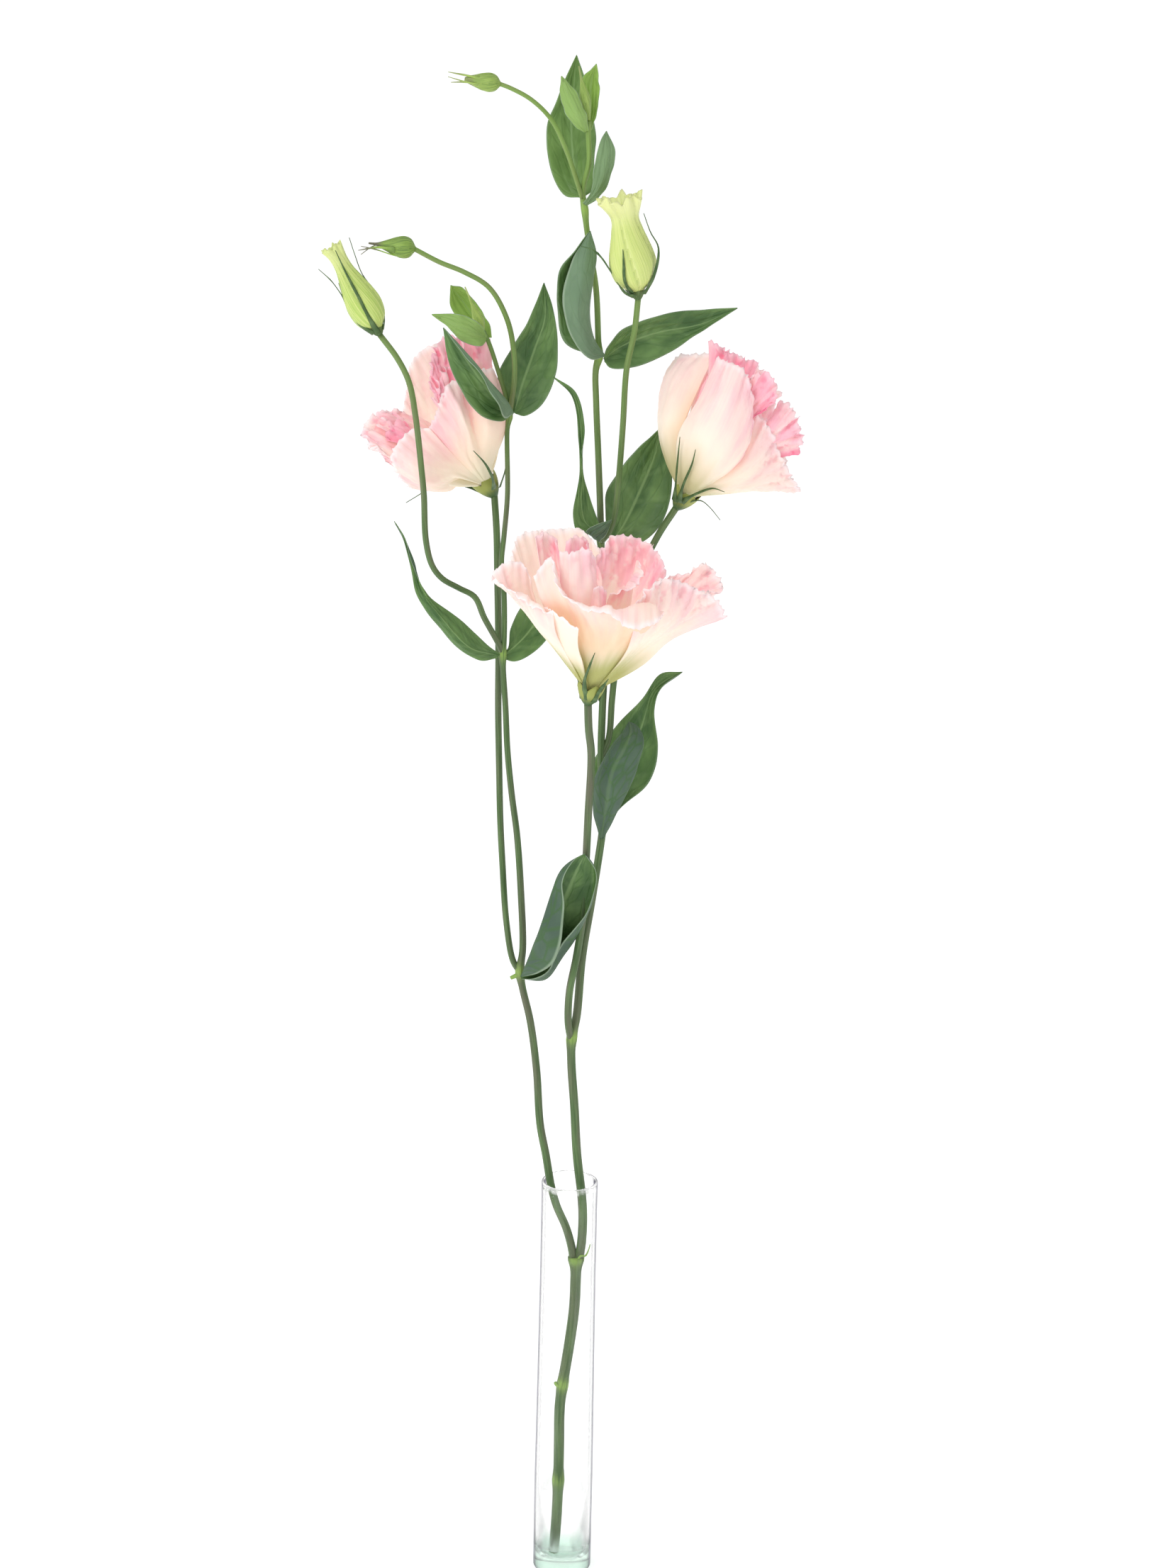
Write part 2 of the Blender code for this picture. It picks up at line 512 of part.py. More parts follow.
def make_vase():
    """A slim glass tube on a thick base, with a rounded rim."""
    inside_base, inside_rim = VASE_BASE_RADIUS - VASE_WALL, VASE_RIM_RADIUS - VASE_WALL
    lip = VASE_WALL / 2
    outline = [(VASE_BASE_RADIUS - 0.8, 0), (VASE_BASE_RADIUS, 0.8), (VASE_BASE_RADIUS, 40),
               (VASE_RIM_RADIUS, 120), (VASE_RIM_RADIUS, VASE_HEIGHT - lip), (VASE_RIM_RADIUS - lip, VASE_HEIGHT),
               (inside_rim, VASE_HEIGHT - lip), (inside_rim, 120), (inside_base, 40),
               (inside_base, VASE_FLOOR + 2.5), (inside_base - 2.5, VASE_FLOOR)]
    turned("vase", outline, VASE_SIDES, GLASS)


def make_water():
    """The water at the bottom of the vase, with room for the stem through it."""
    radius = VASE_BASE_RADIUS - VASE_WALL - GAP
    low = VASE_FLOOR + GAP
    outline = [(radius - 2.5, low), (radius, low + 2.5), (radius, WATER_LEVEL)]
    water = turned("water", outline, VASE_SIDES, WATER)
    cutter_route = [(x, y, z) for x, y, z in MAIN_STEM[1:3]]
    foot, top = Vector(MAIN_STEM[0]), Vector(cutter_route[-1])
    cutter = tube("stem_room", smooth_route([foot - Vector((0, 0, 3)), *cutter_route, top + Vector((0, 0, 8))], 6),
                  [2.75] * 7, WATER)
    cutter.hide_render = True
    cutter.display_type = "WIRE"
    cut = water.modifiers.new("stem room", "BOOLEAN")
    cut.operation = "DIFFERENCE"
    cut.solver = "EXACT"
    cut.object = cutter


def main():
    for old in list(bpy.data.objects):
        bpy.data.objects.remove(old)
    make_vase()
    make_water()
    make_stems()
    make_leaves()
    make_flower("centre_flower", CENTRE_FLOWER, CENTRE_FLOWER_STALK, (1.3, 1.25))
    make_flower("left_flower", LEFT_FLOWER, LEFT_FLOWER_STALK, (1.1, 1.1))
    make_flower("right_flower", RIGHT_FLOWER, RIGHT_FLOWER_STALK, (1.1, 1.1))
    make_bud("left_bud", LEFT_BUD, LEFT_BUD_STALK, (1.1, 1.1))
    make_bud("yellow_bud", YELLOW_BUD, YELLOW_BUD_STALK, (1.05, 1.05))
    make_small_buds()


main()
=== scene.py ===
"""The finish of a cut lisianthus in a slim glass tube: petals, leaves, stems, buds, glass and water.

Places in the lists are in millimetres in the part's own frame: +Z is up and -Y is the front.
"""

import math
from typing import NamedTuple

import bpy
import numpy as np
from bpy.props import FloatProperty, FloatVectorProperty, PointerProperty
from mathutils import Matrix, Vector


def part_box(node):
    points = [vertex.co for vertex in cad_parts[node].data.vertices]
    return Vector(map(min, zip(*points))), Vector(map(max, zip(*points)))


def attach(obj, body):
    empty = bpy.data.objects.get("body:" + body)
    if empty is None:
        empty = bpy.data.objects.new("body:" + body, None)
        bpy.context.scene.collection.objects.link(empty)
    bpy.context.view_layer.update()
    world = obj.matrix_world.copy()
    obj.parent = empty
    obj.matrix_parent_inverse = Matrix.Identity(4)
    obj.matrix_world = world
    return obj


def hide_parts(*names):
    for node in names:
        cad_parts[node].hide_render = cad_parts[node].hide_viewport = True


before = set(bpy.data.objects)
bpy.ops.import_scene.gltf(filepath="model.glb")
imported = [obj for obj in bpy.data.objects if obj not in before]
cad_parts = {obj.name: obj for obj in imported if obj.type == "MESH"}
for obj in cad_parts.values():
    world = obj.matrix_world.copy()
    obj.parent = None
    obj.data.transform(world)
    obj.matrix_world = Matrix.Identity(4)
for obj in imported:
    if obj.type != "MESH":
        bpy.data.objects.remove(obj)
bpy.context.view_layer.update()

bl_info = {
    "name": "Lisianthus in a tube vase",
    "version": (1, 0, 0),
    "blender": (4, 5, 0),
    "location": "View3D > Sidebar > Lisianthus",
    "description": "Builds the petals, leaves, stems, buds, glass and water round the fixed frame",
    "category": "Object",
}

MM = 0.001


# ---- where things are --------------------------------------------------------------------

class Petal(NamedTuple):
    """A petal as lines from its foot to its rim, listed from one edge to the other."""
    name: str
    stands_for: str  # the frame's node, after the flower's name
    ribs: list
    blush: float = 0.5  # how pink it is: 0 to 1, or more where it is deep pink
    warmth: float = 0.3  # how much peach it has
    frill: float = 1.0  # how much its rim waves
    first: float = 0.0  # how much pinker its first edge is
    last_edge_shade: float = 0.0  # how much painted peach shade its last edge has, where its neighbour shades it


class Flower(NamedTuple):
    """A flower: the middle of its throat, the way it opens, how green its petals' feet are, its petals."""
    name: str
    throat: tuple
    axis: tuple
    green: float
    petals: list


CENTRE_FLOWER = Flower("centre_flower", (3.6, -26, 357.4), (0.14, -0.15, 0.98), 0.9, [
    Petal("front", "petal_4", [
        [(-3, -33, 372), (-9, -41, 384), (-14, -47, 395), (-17, -48, 404)],
        [(-1, -37, 376), (-5, -47, 390), (-9, -51, 400), (-11, -47, 411)],
        [(2, -41, 378), (-1, -52, 392), (-5, -57, 399), (-8, -58, 402)],
        [(6, -43, 379), (4, -54, 390), (2, -60, 397), (1, -62, 396)],
        [(9, -42, 378), (10, -54, 389), (9, -60, 397), (9, -63, 395)],
        [(13, -40, 378), (16, -52, 389), (17, -58, 397), (17, -64, 390)],
        [(17, -36, 376), (21, -46, 386), (24, -54, 397), (25, -60, 391)],
        [(20, -32, 375), (25, -40, 384), (28, -47, 392), (29, -53, 393)]], 0.45, 0.8, 0.5),
    Petal("front_left", "petal_4", [
        [(-2, -32, 367), (-8, -38, 376), (-13, -47, 393)],
        [(-1, -35, 369), (-6, -43, 380), (-10, -52, 393)],
        [(0, -37, 370), (-3, -46, 380), (-5, -55, 390)],
        [(1, -38, 370), (-1, -47, 379), (-1, -54, 387)]], 0.12, 0.25, 0.3),
    Petal("left", "petal_3", [
        [(-7, -28, 372), (-14, -30, 385), (-17, -32, 394), (-18, -33, 399)],
        [(-9, -28, 373), (-16, -31, 385), (-20, -33, 396), (-21, -33, 405)],
        [(-9, -29, 373), (-18, -33, 385), (-25, -35, 397), (-26, -34, 406)],
        [(-8, -33, 374), (-15, -37, 384), (-23, -39, 393), (-32, -36, 401)],
        [(-8, -35, 375), (-15, -41, 385), (-22, -42, 395), (-27, -46, 400)],
        [(-9, -37, 376), (-16, -43, 387), (-20, -45, 397), (-21, -49, 396)],
        [(-8, -38, 376), (-14, -45, 386), (-16, -48, 395), (-17, -51, 394)],
        [(-5, -38, 374), (-9, -46, 384), (-10, -52, 392)]], 0.4, 0.15, 0.6),
    Petal("back_left", "petal_2", [
        [(-10, -18, 375), (-19, -14, 388), (-26, -12, 402)],
        [(-9, -12, 376), (-18, -7, 391), (-23, -5, 409)],
        [(-5, -8, 376), (-12, -1, 393), (-17, -1, 410)],
        [(0, -5, 376), (-4, 2, 392), (-8, 3, 410)],
        [(4, -5, 376), (2, 2, 392), (-1, 3, 410)],
        [(6, -6, 375), (6, 0, 390), (6, 1, 403)]], 0.2, 0.0, 0.55),
    Petal("right", "petal_1", [
        [(18, -15, 379), (26, -12, 390), (32, -12, 397)],
        [(19, -17, 378), (29, -15, 388), (39, -14, 399)],
        [(20, -20, 378), (32, -18, 388), (44, -17, 403)],
        [(20, -23, 377), (33, -22, 387), (50, -21, 396)],
        [(21, -26, 377), (32, -27, 386), (42, -27, 394)],
        [(20, -30, 374), (30, -33, 382), (40, -33, 391)]], 0.65, 0.1, 1.2),
    Petal("lower_right", "petal_5", [
        [(15, -36, 373), (18, -46, 384), (19, -53, 396)],
        [(18, -36, 375), (22, -45, 387), (24, -49, 402)],
        [(20, -35, 376), (27, -42, 388), (29, -42, 403)],
        [(22, -33, 376), (33, -38, 387), (38, -35, 399)],
        [(23, -31, 375), (36, -34, 386), (47, -33, 394)],
        [(22, -28, 368), (32, -30, 378), (51, -33, 387)]], 0.6, 0.2, 1.0),
    Petal("right_rolled", "inner_petals", [
        [(6, -38, 383), (9, -44, 395), (10, -46, 398)],
        [(10, -38, 383), (13, -43, 398), (14, -46, 399)],
        [(13, -35, 383), (16, -38, 400), (19, -42, 400)],
        [(15, -32, 384), (18, -33, 402), (21, -37, 403)],
        [(16, -28, 384), (19, -28, 406), (20, -31, 406)]], 0.7, 0.15, 0.5),
    Petal("left_inner", "inner_petals", [
        [(-2, -40, 383), (-7, -46, 396), (-8, -42, 412)],
        [(1, -42, 384), (-3, -49, 396), (-4, -44, 412)],
        [(3, -42, 384), (2, -48, 396), (0, -42, 413)],
        [(5, -40, 383), (5, -45, 396), (3, -40, 411)],
        [(6, -34, 383), (5, -37, 394), (4, -35, 407)]], 0.75, 0.1, 0.8),
    Petal("front_inner", "inner_petals", [
        [(4, -38, 380), (3, -48, 391), (4, -52, 401)],
        [(6, -38, 380), (6, -49, 391), (6, -51, 402)],
        [(7, -37, 380), (8, -46, 391), (9, -48, 399)]], 0.8, 0.1, 0.5),
    Petal("back_left_inner", "inner_petals", [
        [(-8, -24, 384), (-14, -20, 397), (-17, -15, 411)],
        [(-5, -20, 384), (-11, -14, 397), (-13, -9, 411)],
        [(-3, -20, 384), (-7, -14, 397), (-9, -12, 408)]], 0.85, 0.05, 1.0),
    Petal("back_inner", "inner_petals", [
        [(-2, -25, 386), (-6, -21, 399), (-6, -19, 411)],
        [(2, -22, 386), (0, -16, 399), (0, -14, 411)],
        [(5, -24, 386), (7, -22, 397), (3, -18, 406)]], 1.0, 0.1, 1.0),
    Petal("back_right_inner", "inner_petals", [
        [(4, -24, 385), (2, -19, 394), (3, -15, 401)],
        [(7, -22, 385), (7, -15, 396), (7, -10, 406)],
        [(10, -18, 385), (12, -9, 397), (12, -6, 410)],
        [(14, -16, 385), (18, -7, 397), (20, -6, 409)],
        [(16, -18, 384), (23, -13, 397), (26, -12, 406)],
        [(18, -22, 383), (25, -19, 393), (30, -18, 399)]], 0.8, 0.1, 1.1),
])

LEFT_FLOWER = Flower("left_flower", (-35.9, 28, 420.4), (-0.57, 0.02, 0.82), 0.35, [
    Petal("front", "petal_5", [
        [(-43, 12, 430), (-50, 4, 439), (-56, 2, 446)],
        [(-42, 9, 432), (-49, 1, 443), (-54, 0, 450)],
        [(-41, 8, 434), (-46, -1, 449), (-52, 1, 457)],
        [(-39, 8, 434), (-43, -2, 449), (-47, 0, 458), (-49, 2, 462)],
        [(-37, 10, 434), (-41, 3, 449), (-43, 4, 459), (-44, 6, 464)],
        [(-35, 11, 434), (-36, 1, 450), (-38, 3, 460), (-39, 8, 466)],
        [(-32, 16, 434), (-29, 12, 444), (-30, 13, 457), (-33, 15, 465)]], 0.55, 0.4, 0.8, 0.35, 0.0),
    Petal("right", "petal_1", [
        [(-32, 16, 433), (-30, 14, 447), (-32, 16, 459)],
        [(-33, 22, 432), (-31, 22, 446), (-34, 24, 461)],
        [(-34, 30, 431), (-33, 35, 446), (-37, 37, 464)]], 0.2, 0.3, 0.7),
    Petal("back", "petal_2", [
        [(-48, 30, 426), (-58, 32, 434), (-67, 34, 445)],
        [(-47, 32, 428), (-58, 37, 440), (-66, 38, 453)],
        [(-46, 34, 430), (-55, 41, 447), (-64, 42, 463)],
        [(-43, 34, 430), (-50, 43, 450), (-58, 45, 468)],
        [(-40, 34, 430), (-45, 43, 450), (-52, 46, 469)],
        [(-38, 33, 431), (-40, 41, 448), (-45, 43, 469)]], 0.45, 0.0, 0.5),
    Petal("lower", "petal_4", [
        [(-43, 12, 430), (-50, 4, 439), (-56, 2, 446)],
        [(-45, 11, 428), (-54, 0, 437), (-63, 0, 445)],
        [(-46, 10, 427), (-57, -3, 434), (-67, -3, 441)],
        [(-46, 12, 426), (-57, -3, 429), (-69, -3, 437)],
        [(-45, 16, 426), (-52, 7, 423), (-58, 2, 425), (-67, 2, 429)],
        [(-43, 20, 426), (-48, 14, 421), (-54, 10, 421), (-62, 8, 422)]], 0.55, 0.3, 0.7),
    Petal("lower_back", "petal_3", [
        [(-51, 12, 423), (-63, 4, 428), (-71, 2, 434)],
        [(-52, 8, 425), (-66, 1, 433), (-75, 1, 438)],
        [(-53, 8, 427), (-68, 2, 436), (-79, 4, 441)],
        [(-52, 12, 429), (-66, 8, 439), (-79, 9, 446)],
        [(-51, 16, 431), (-63, 13, 442), (-75, 12, 449)],
        [(-49, 20, 432), (-59, 18, 444), (-69, 16, 449)],
        [(-48, 24, 432), (-57, 22, 444), (-64, 20, 446)]], 0.75, 0.2, 1.2),
    Petal("lower_inner", "inner_petals", [
        [(-55, 12, 432), (-67, 6, 441), (-75, 8, 445)],
        [(-55, 14, 433), (-65, 10, 442), (-72, 13, 448)],
        [(-54, 18, 433), (-62, 15, 443), (-68, 18, 448)]], 0.95, 0.2, 1.2),
    Petal("left_inner", "inner_petals", [
        [(-54, 8, 433), (-64, 3, 439), (-72, 4, 441)],
        [(-53, 9, 434), (-62, 5, 441), (-70, 7, 445)],
        [(-52, 12, 435), (-60, 9, 442), (-66, 11, 447)]], 1.35, 0.1, 1.3),
    Petal("upper_inner", "inner_petals", [
        [(-46, 6, 445), (-51, 3, 454), (-56, 5, 460)],
        [(-45, 8, 446), (-51, 5, 458), (-56, 7, 467)],
        [(-44, 10, 446), (-50, 7, 461), (-54, 9, 474)],
        [(-43, 11, 446), (-47, 8, 462), (-50, 10, 478)],
        [(-41, 12, 446), (-43, 9, 462), (-44, 10, 476)]], 1.2, 0.1, 1.4),
    Petal("upper_curl", "inner_petals", [
        [(-46, 3, 444), (-51, 1, 451), (-55, 2, 456)],
        [(-45, 4, 445), (-50, 2, 455), (-53, 3, 462)],
        [(-43, 6, 446), (-47, 4, 457), (-50, 5, 467)],
        [(-42, 7, 446), (-44, 5, 458), (-44, 7, 470)]], 1.1, 0.1, 1.5),
    Petal("right_inner", "inner_petals", [
        [(-43, 14, 444), (-47, 12, 460), (-49, 13, 475)],
        [(-40, 15, 444), (-43, 13, 460), (-45, 14, 477)],
        [(-38, 15, 444), (-39, 13, 460), (-40, 14, 477)],
        [(-36, 18, 444), (-34, 16, 458), (-35, 17, 475)]], 1.1, 0.2, 1.3),
])

RIGHT_FLOWER = Flower("right_flower", (36, 12, 421), (0.52, 0.0, 0.85), 0.7, [
    Petal("left", "petal_3", [
        [(31, 18, 430), (28, 22, 441), (28, 27, 459), (32, 28, 466)],
        [(29, 12, 434), (26, 12, 446), (28, 16, 463), (33, 19, 471)],
        [(30, 7, 436), (28, 5, 448), (33, 9, 465), (40, 12, 473)],
        [(33, 4, 436), (34, 2, 446), (41, 5, 464), (46, 8, 474)]], 0.5, 0.0, 0.6, 0.0, 0.9),
    Petal("front", "petal_4", [
        [(33, 3, 432), (33, -1, 446), (40, -3, 460), (46, 0, 474)],
        [(36, -2, 433), (39, -9, 450), (45, -9, 462), (50, -4, 473)],
        [(39, -5, 432), (46, -13, 449), (51, -12, 461), (55, -6, 471)],
        [(42, -5, 430), (51, -13, 445), (56, -11, 456), (58, -8, 465)],
        [(43, -2, 428), (53, -9, 438), (58, -8, 448), (59, -6, 455)],
        [(42, 2, 426), (50, -3, 432), (56, -4, 438), (58, -3, 445)]], 0.75, 0.12, 0.7),
    Petal("lower_right", "petal_5", [
        [(42, 3, 429), (54, -2, 440), (61, -1, 454)],
        [(42, 1, 427), (56, -6, 436), (65, -3, 450)],
        [(43, 2, 425), (57, -5, 431), (69, -1, 441)],
        [(43, 6, 423), (60, 2, 426), (77, 4, 426)],
        [(43, 14, 421), (59, 15, 423), (73, 17, 430)]], 0.55, 0.25, 1.1),
    Petal("back_right", "petal_1", [
        [(44, 12, 422), (59, 13, 425), (72, 15, 432)],
        [(44, 17, 422), (59, 21, 426), (73, 24, 433)],
        [(44, 22, 422), (58, 30, 429), (72, 32, 436)],
        [(44, 27, 425), (58, 36, 436), (69, 38, 445)],
        [(43, 29, 428), (54, 38, 442), (64, 40, 455)],
        [(42, 30, 430), (52, 39, 446), (61, 41, 459)]], 0.5, 0.1, 0.9),
    Petal("back", "petal_2", [
        [(43, 28, 429), (54, 36, 443), (65, 38, 455)],
        [(41, 29, 431), (51, 38, 449), (59, 40, 463)],
        [(38, 28, 433), (46, 36, 453), (52, 38, 468)],
        [(35, 24, 434), (39, 29, 454), (44, 30, 471)]], 0.4, 0.2, 1.0),
    Petal("fan_inner", "inner_petals", [
        [(51, 4, 443), (58, -3, 452), (63, -7, 457)],
        [(51, 3, 444), (59, -4, 454), (67, -8, 461)],
        [(50, 3, 445), (58, -4, 456), (67, -8, 466)],
        [(49, 3, 445), (57, -3, 457), (64, -8, 470)],
        [(48, 3, 444), (55, -2, 456), (60, -7, 470)],
        [(47, 4, 443), (53, 0, 455), (57, -5, 466)]], 1.15, 0.1, 0.8, 1.4, 0.0),
    Petal("right_inner", "inner_petals", [
        [(49, 6, 432), (64, 3, 436), (76, 3, 439)],
        [(48, 4, 433), (64, 0, 441), (77, -1, 445)],
        [(47, 4, 435), (63, -2, 445), (73, -2, 457)],
        [(47, 4, 436), (62, -1, 448), (69, 0, 459)]], 0.95, 0.1, 1.2, 1.5),
    Petal("top_inner", "inner_petals", [
        [(41, 8, 437), (43, 4, 458), (43, 5, 479)],
        [(42, 7, 438), (47, 1, 460), (48, 3, 477)],
        [(43, 7, 438), (51, 0, 461), (54, 2, 474)],
        [(44, 8, 438), (55, 3, 458), (61, 4, 472)]], 1.2, 0.1, 1.3),
    Petal("back_inner", "inner_petals", [
        [(42, 16, 436), (49, 22, 455), (53, 26, 471)],
        [(43, 16, 435), (55, 24, 454), (63, 28, 465)],
        [(45, 15, 435), (59, 22, 449), (71, 26, 456)]], 0.75, 0.1, 1.0),
    Petal("left_heart", "inner_petals", [
        [(37, 9, 437), (38, 10, 454), (42, 12, 466)],
        [(38, 5, 437), (39, 4, 455), (45, 5, 468)],
        [(39, 1, 437), (42, -1, 454), (48, 0, 467)],
        [(41, -1, 437), (46, -4, 452), (51, -2, 464)]], 1.1, 0.1, 0.8),
    Petal("heart", "inner_petals", [
        [(42, 9, 438), (49, 7, 454), (51, 9, 466)],
        [(43, 11, 437), (54, 11, 452), (59, 13, 462)],
        [(44, 13, 436), (58, 16, 449), (65, 19, 457)],
        [(45, 13, 434), (60, 15, 443), (70, 18, 449)]], 0.9, 0.1, 1.2),
    Petal("heart_side", "inner_petals", [
        [(45, 10, 433), (59, 9, 439), (70, 11, 444)],
        [(44, 10, 435), (58, 6, 444), (66, 8, 449)],
        [(43, 9, 437), (55, 5, 447), (61, 7, 454)]], 0.85, 0.1, 1.1),
])


class Leaf(NamedTuple):
    """A blade as lines from its foot to its tip, listed from one margin over the midrib to the other."""
    name: str
    foot: tuple
    tip: tuple
    upper: int  # which side of the lines is the upper face: 1 or -1
    ribs: list


LEAVES = [
    Leaf("lower_left_rolled_leaf", (-20, 3, 239), (3, -20, 295), -1, [
        [(-13, -8, 245), (-7, -16, 253), (-4, -23, 275), (-5, -23, 285), (-1, -22, 293)],
        [(-17, -7, 250), (-12, -18, 268), (-5, -20, 289)],
        [(-13, -3, 247), (-7, -10, 264), (-1, -16, 282)],
        [(-11, -1, 240), (-6, -6, 248), (1, -12, 262), (6, -15, 276), (6, -18, 290)],
        [(-14, -5, 242), (-9, -9, 247), (-5, -15, 259), (4, -20, 272), (7, -20, 288)]]),
    Leaf("middle_left_long_leaf", (-30, 8, 361), (-68, 0, 412), 1, [
        [(-34, 4, 366), (-42, -1, 375), (-53, -4, 384), (-57, -6, 389), (-61, -4, 397), (-64, -2, 406)],
        [(-41, -3, 366), (-52, -6, 379), (-58, -6, 388), (-61, -3, 398), (-65, -1, 407)],
        [(-37, 1, 361), (-48, -3, 370), (-57, -5, 382), (-60, -6, 388), (-62, -4, 398), (-66, -1, 409)]]),
    Leaf("middle_left_short_leaf", (-29, 11, 360), (-8, 22, 385), -1, [
        [(-27, 13, 362), (-26, 17, 369), (-22, 20, 377), (-16, 22, 382)],
        [(-24, 14, 365), (-18, 20, 372), (-13, 22, 378)],
        [(-24, 12, 358), (-16, 15, 362), (-9, 19, 371), (-7, 21, 378)]]),
    Leaf("upper_left_broad_leaf", (-26, 13, 450), (-16, 13, 497), -1, [
        [(-31, 14, 454), (-32, 16, 463), (-27, 16, 473), (-21, 15, 484)],
        [(-24, 17, 460), (-20, 18, 472), (-16, 16, 484)],
        [(-22, 12, 449), (-16, 13, 453), (-11, 15, 465), (-11, 16, 478), (-13, 15, 489)]]),
    Leaf("upper_left_dark_leaf", (-26, 6, 451), (-51, -4, 483), -1, [
        [(-30, 1, 449), (-37, -5, 452), (-44, -8, 461), (-49, -7, 472)],
        [(-33, 0, 454), (-41, -5, 466), (-47, -6, 476)],
        [(-28, 2, 456), (-35, -4, 465), (-44, -6, 476)],
        [(-29, -3, 451), (-31, -7, 456), (-36, -8, 465), (-44, -8, 475)]]),
    Leaf("left_cluster_front_leaf", (-36, 5, 478), (-55, -6, 488), -1, [
        [(-38, -1, 484), (-45, -5, 488)],
        [(-41, -3, 483), (-48, -6, 486)],
        [(-38, 0, 476), (-44, -3, 478), (-50, -5, 484)]]),
    Leaf("left_cluster_back_leaf", (-35, 7, 478), (-49, 9, 496), -1, [
        [(-44, 10, 482), (-49, 11, 488)],
        [(-39, 12, 483), (-44, 13, 490)],
        [(-35, 9, 482), (-39, 12, 488), (-45, 10, 495)]]),
    Leaf("lower_right_front_leaf", (9, -4, 296), (18, -6, 341), 1, [
        [(9, -3, 310), (10, -4, 322), (14, -6, 332), (16, -7, 337)],
        [(6, -8, 307), (6, -12, 320), (9, -14, 328), (12, -14, 334), (16, -10, 338)],
        [(11, -14, 312), (13, -18, 326), (17, -16, 334), (19, -11, 339)],
        [(16, -12, 313), (21, -14, 327), (23, -12, 336), (21, -8, 340)],
        [(15, -5, 311), (19, -6, 322), (20, -6, 332), (20, -6, 338)]]),
    Leaf("lower_right_back_leaf", (10, 2, 300), (37, 6, 357), -1, [
        [(5, 7, 311), (4, 8, 318), (12, 10, 333), (23, 10, 346), (29, 10, 355)],
        [(18, 8, 312), (25, 10, 331), (27, 10, 347)],
        [(15, 3, 305), (26, 6, 315), (29, 8, 328), (27, 9, 342), (30, 7, 351)]]),
    Leaf("middle_right_twisted_leaf", (6, 11, 407), (-12, 9, 464), -1, [
        [(-2, 6, 408), (-4, 7, 414), (-2, 8, 428), (-2.5, 8, 441), (-5, 8, 457)],
        [(1, 9, 412), (-1, 8, 426), (-1.5, 8, 441), (-5, 8, 458)],
        [(5, 10, 412), (1, 10, 423), (-1, 8, 434), (-0.5, 8, 447), (-4, 8, 459)]]),
    Leaf("middle_right_small_leaf", (6, 11, 404), (10, 1, 414), 1, [
        [(1, 5, 409), (5, 3, 412)],
        [(4, 5, 407), (7, 2, 410)],
        [(6, 6, 405), (8, 3, 408)]]),
    Leaf("middle_right_broad_leaf", (10, 15, 403), (27, 21, 444), -1, [
        [(8, 15, 410), (8, 15, 421), (13, 16, 430), (20, 18, 438)],
        [(14, 18, 408), (20, 20, 421), (25, 21, 434)],
        [(19, 15, 402), (27, 16, 408), (31, 18, 418), (31, 20, 433)]]),
    Leaf("upper_right_folded_leaf", (6, 3, 473), (0, -2, 518), -1, [
        [(0, 3, 474), (-8, -1, 478), (-11, -3, 491), (-10, -6, 505), (-5, -6, 512)],
        [(-1, 1, 481), (-5, -1, 495), (-4, -3, 507)],
        [(2, 1, 479), (0, -3, 489), (1, -5, 502), (2, -4, 510)],
        [(1, -5, 476), (-4, -12, 490), (-3, -11, 504)],
        [(1, -4, 473), (-6, -9, 482), (-9, -11, 497), (-6, -7, 508)]]),
    Leaf("upper_right_long_leaf", (6, 8, 471), (53, 10, 490), -1, [
        [(7, 5, 476), (13, 8, 482), (28, 13, 487), (42, 12, 489)],
        [(11, 12, 474), (24, 14, 479), (40, 13, 483)],
        [(8, 8, 468), (17, 10, 468), (29, 12, 473), (43, 11, 483)]]),
    Leaf("top_broad_leaf", (-3, 4, 529), (-6, 6, 578), -1, [
        [(-9, 6, 529), (-14, 8, 537), (-16, 9, 551), (-12, 8, 564)],
        [(-6, 10, 536), (-8, 12, 553), (-7, 9, 568)],
        [(1, 4, 532), (1, 6, 540), (1, 8, 553), (-3, 7, 570)]]),
    Leaf("top_narrow_leaf", (-2, 0, 527), (5, -3, 553), 1, [
        [(0, -4, 532), (1, -6, 541), (3, -5, 550)],
        [(3, -6, 535), (5, -6, 545)],
        [(3, -3, 530), (7, -4, 538), (8, -4, 547)]]),
    Leaf("top_cluster_left_leaf", (-2, -5, 553), (-11, -7, 572), 1, [
        [(-7, -8, 556), (-11, -8, 564)],
        [(-4, -10, 558), (-8, -10, 566)],
        [(-2, -7, 558), (-6, -8, 567)]]),
    Leaf("top_cluster_right_leaf", (-1, -3, 553), (1, -3, 576), -1, [
        [(-3, -1, 561), (-4, -1, 570)],
        [(0, 1, 560), (0, 1, 568)],
        [(2, 0, 562), (2, -1, 570)]]),
]


class Stem(NamedTuple):
    """A stem: its route, its radius at the foot and at the top, and the heights that it swells at."""
    name: str
    route: list
    radii: tuple
    nodes: tuple = ()  # height of each, and how much it swells
    purple: float = 0.3  # how much the sun has browned it, 0 to 1


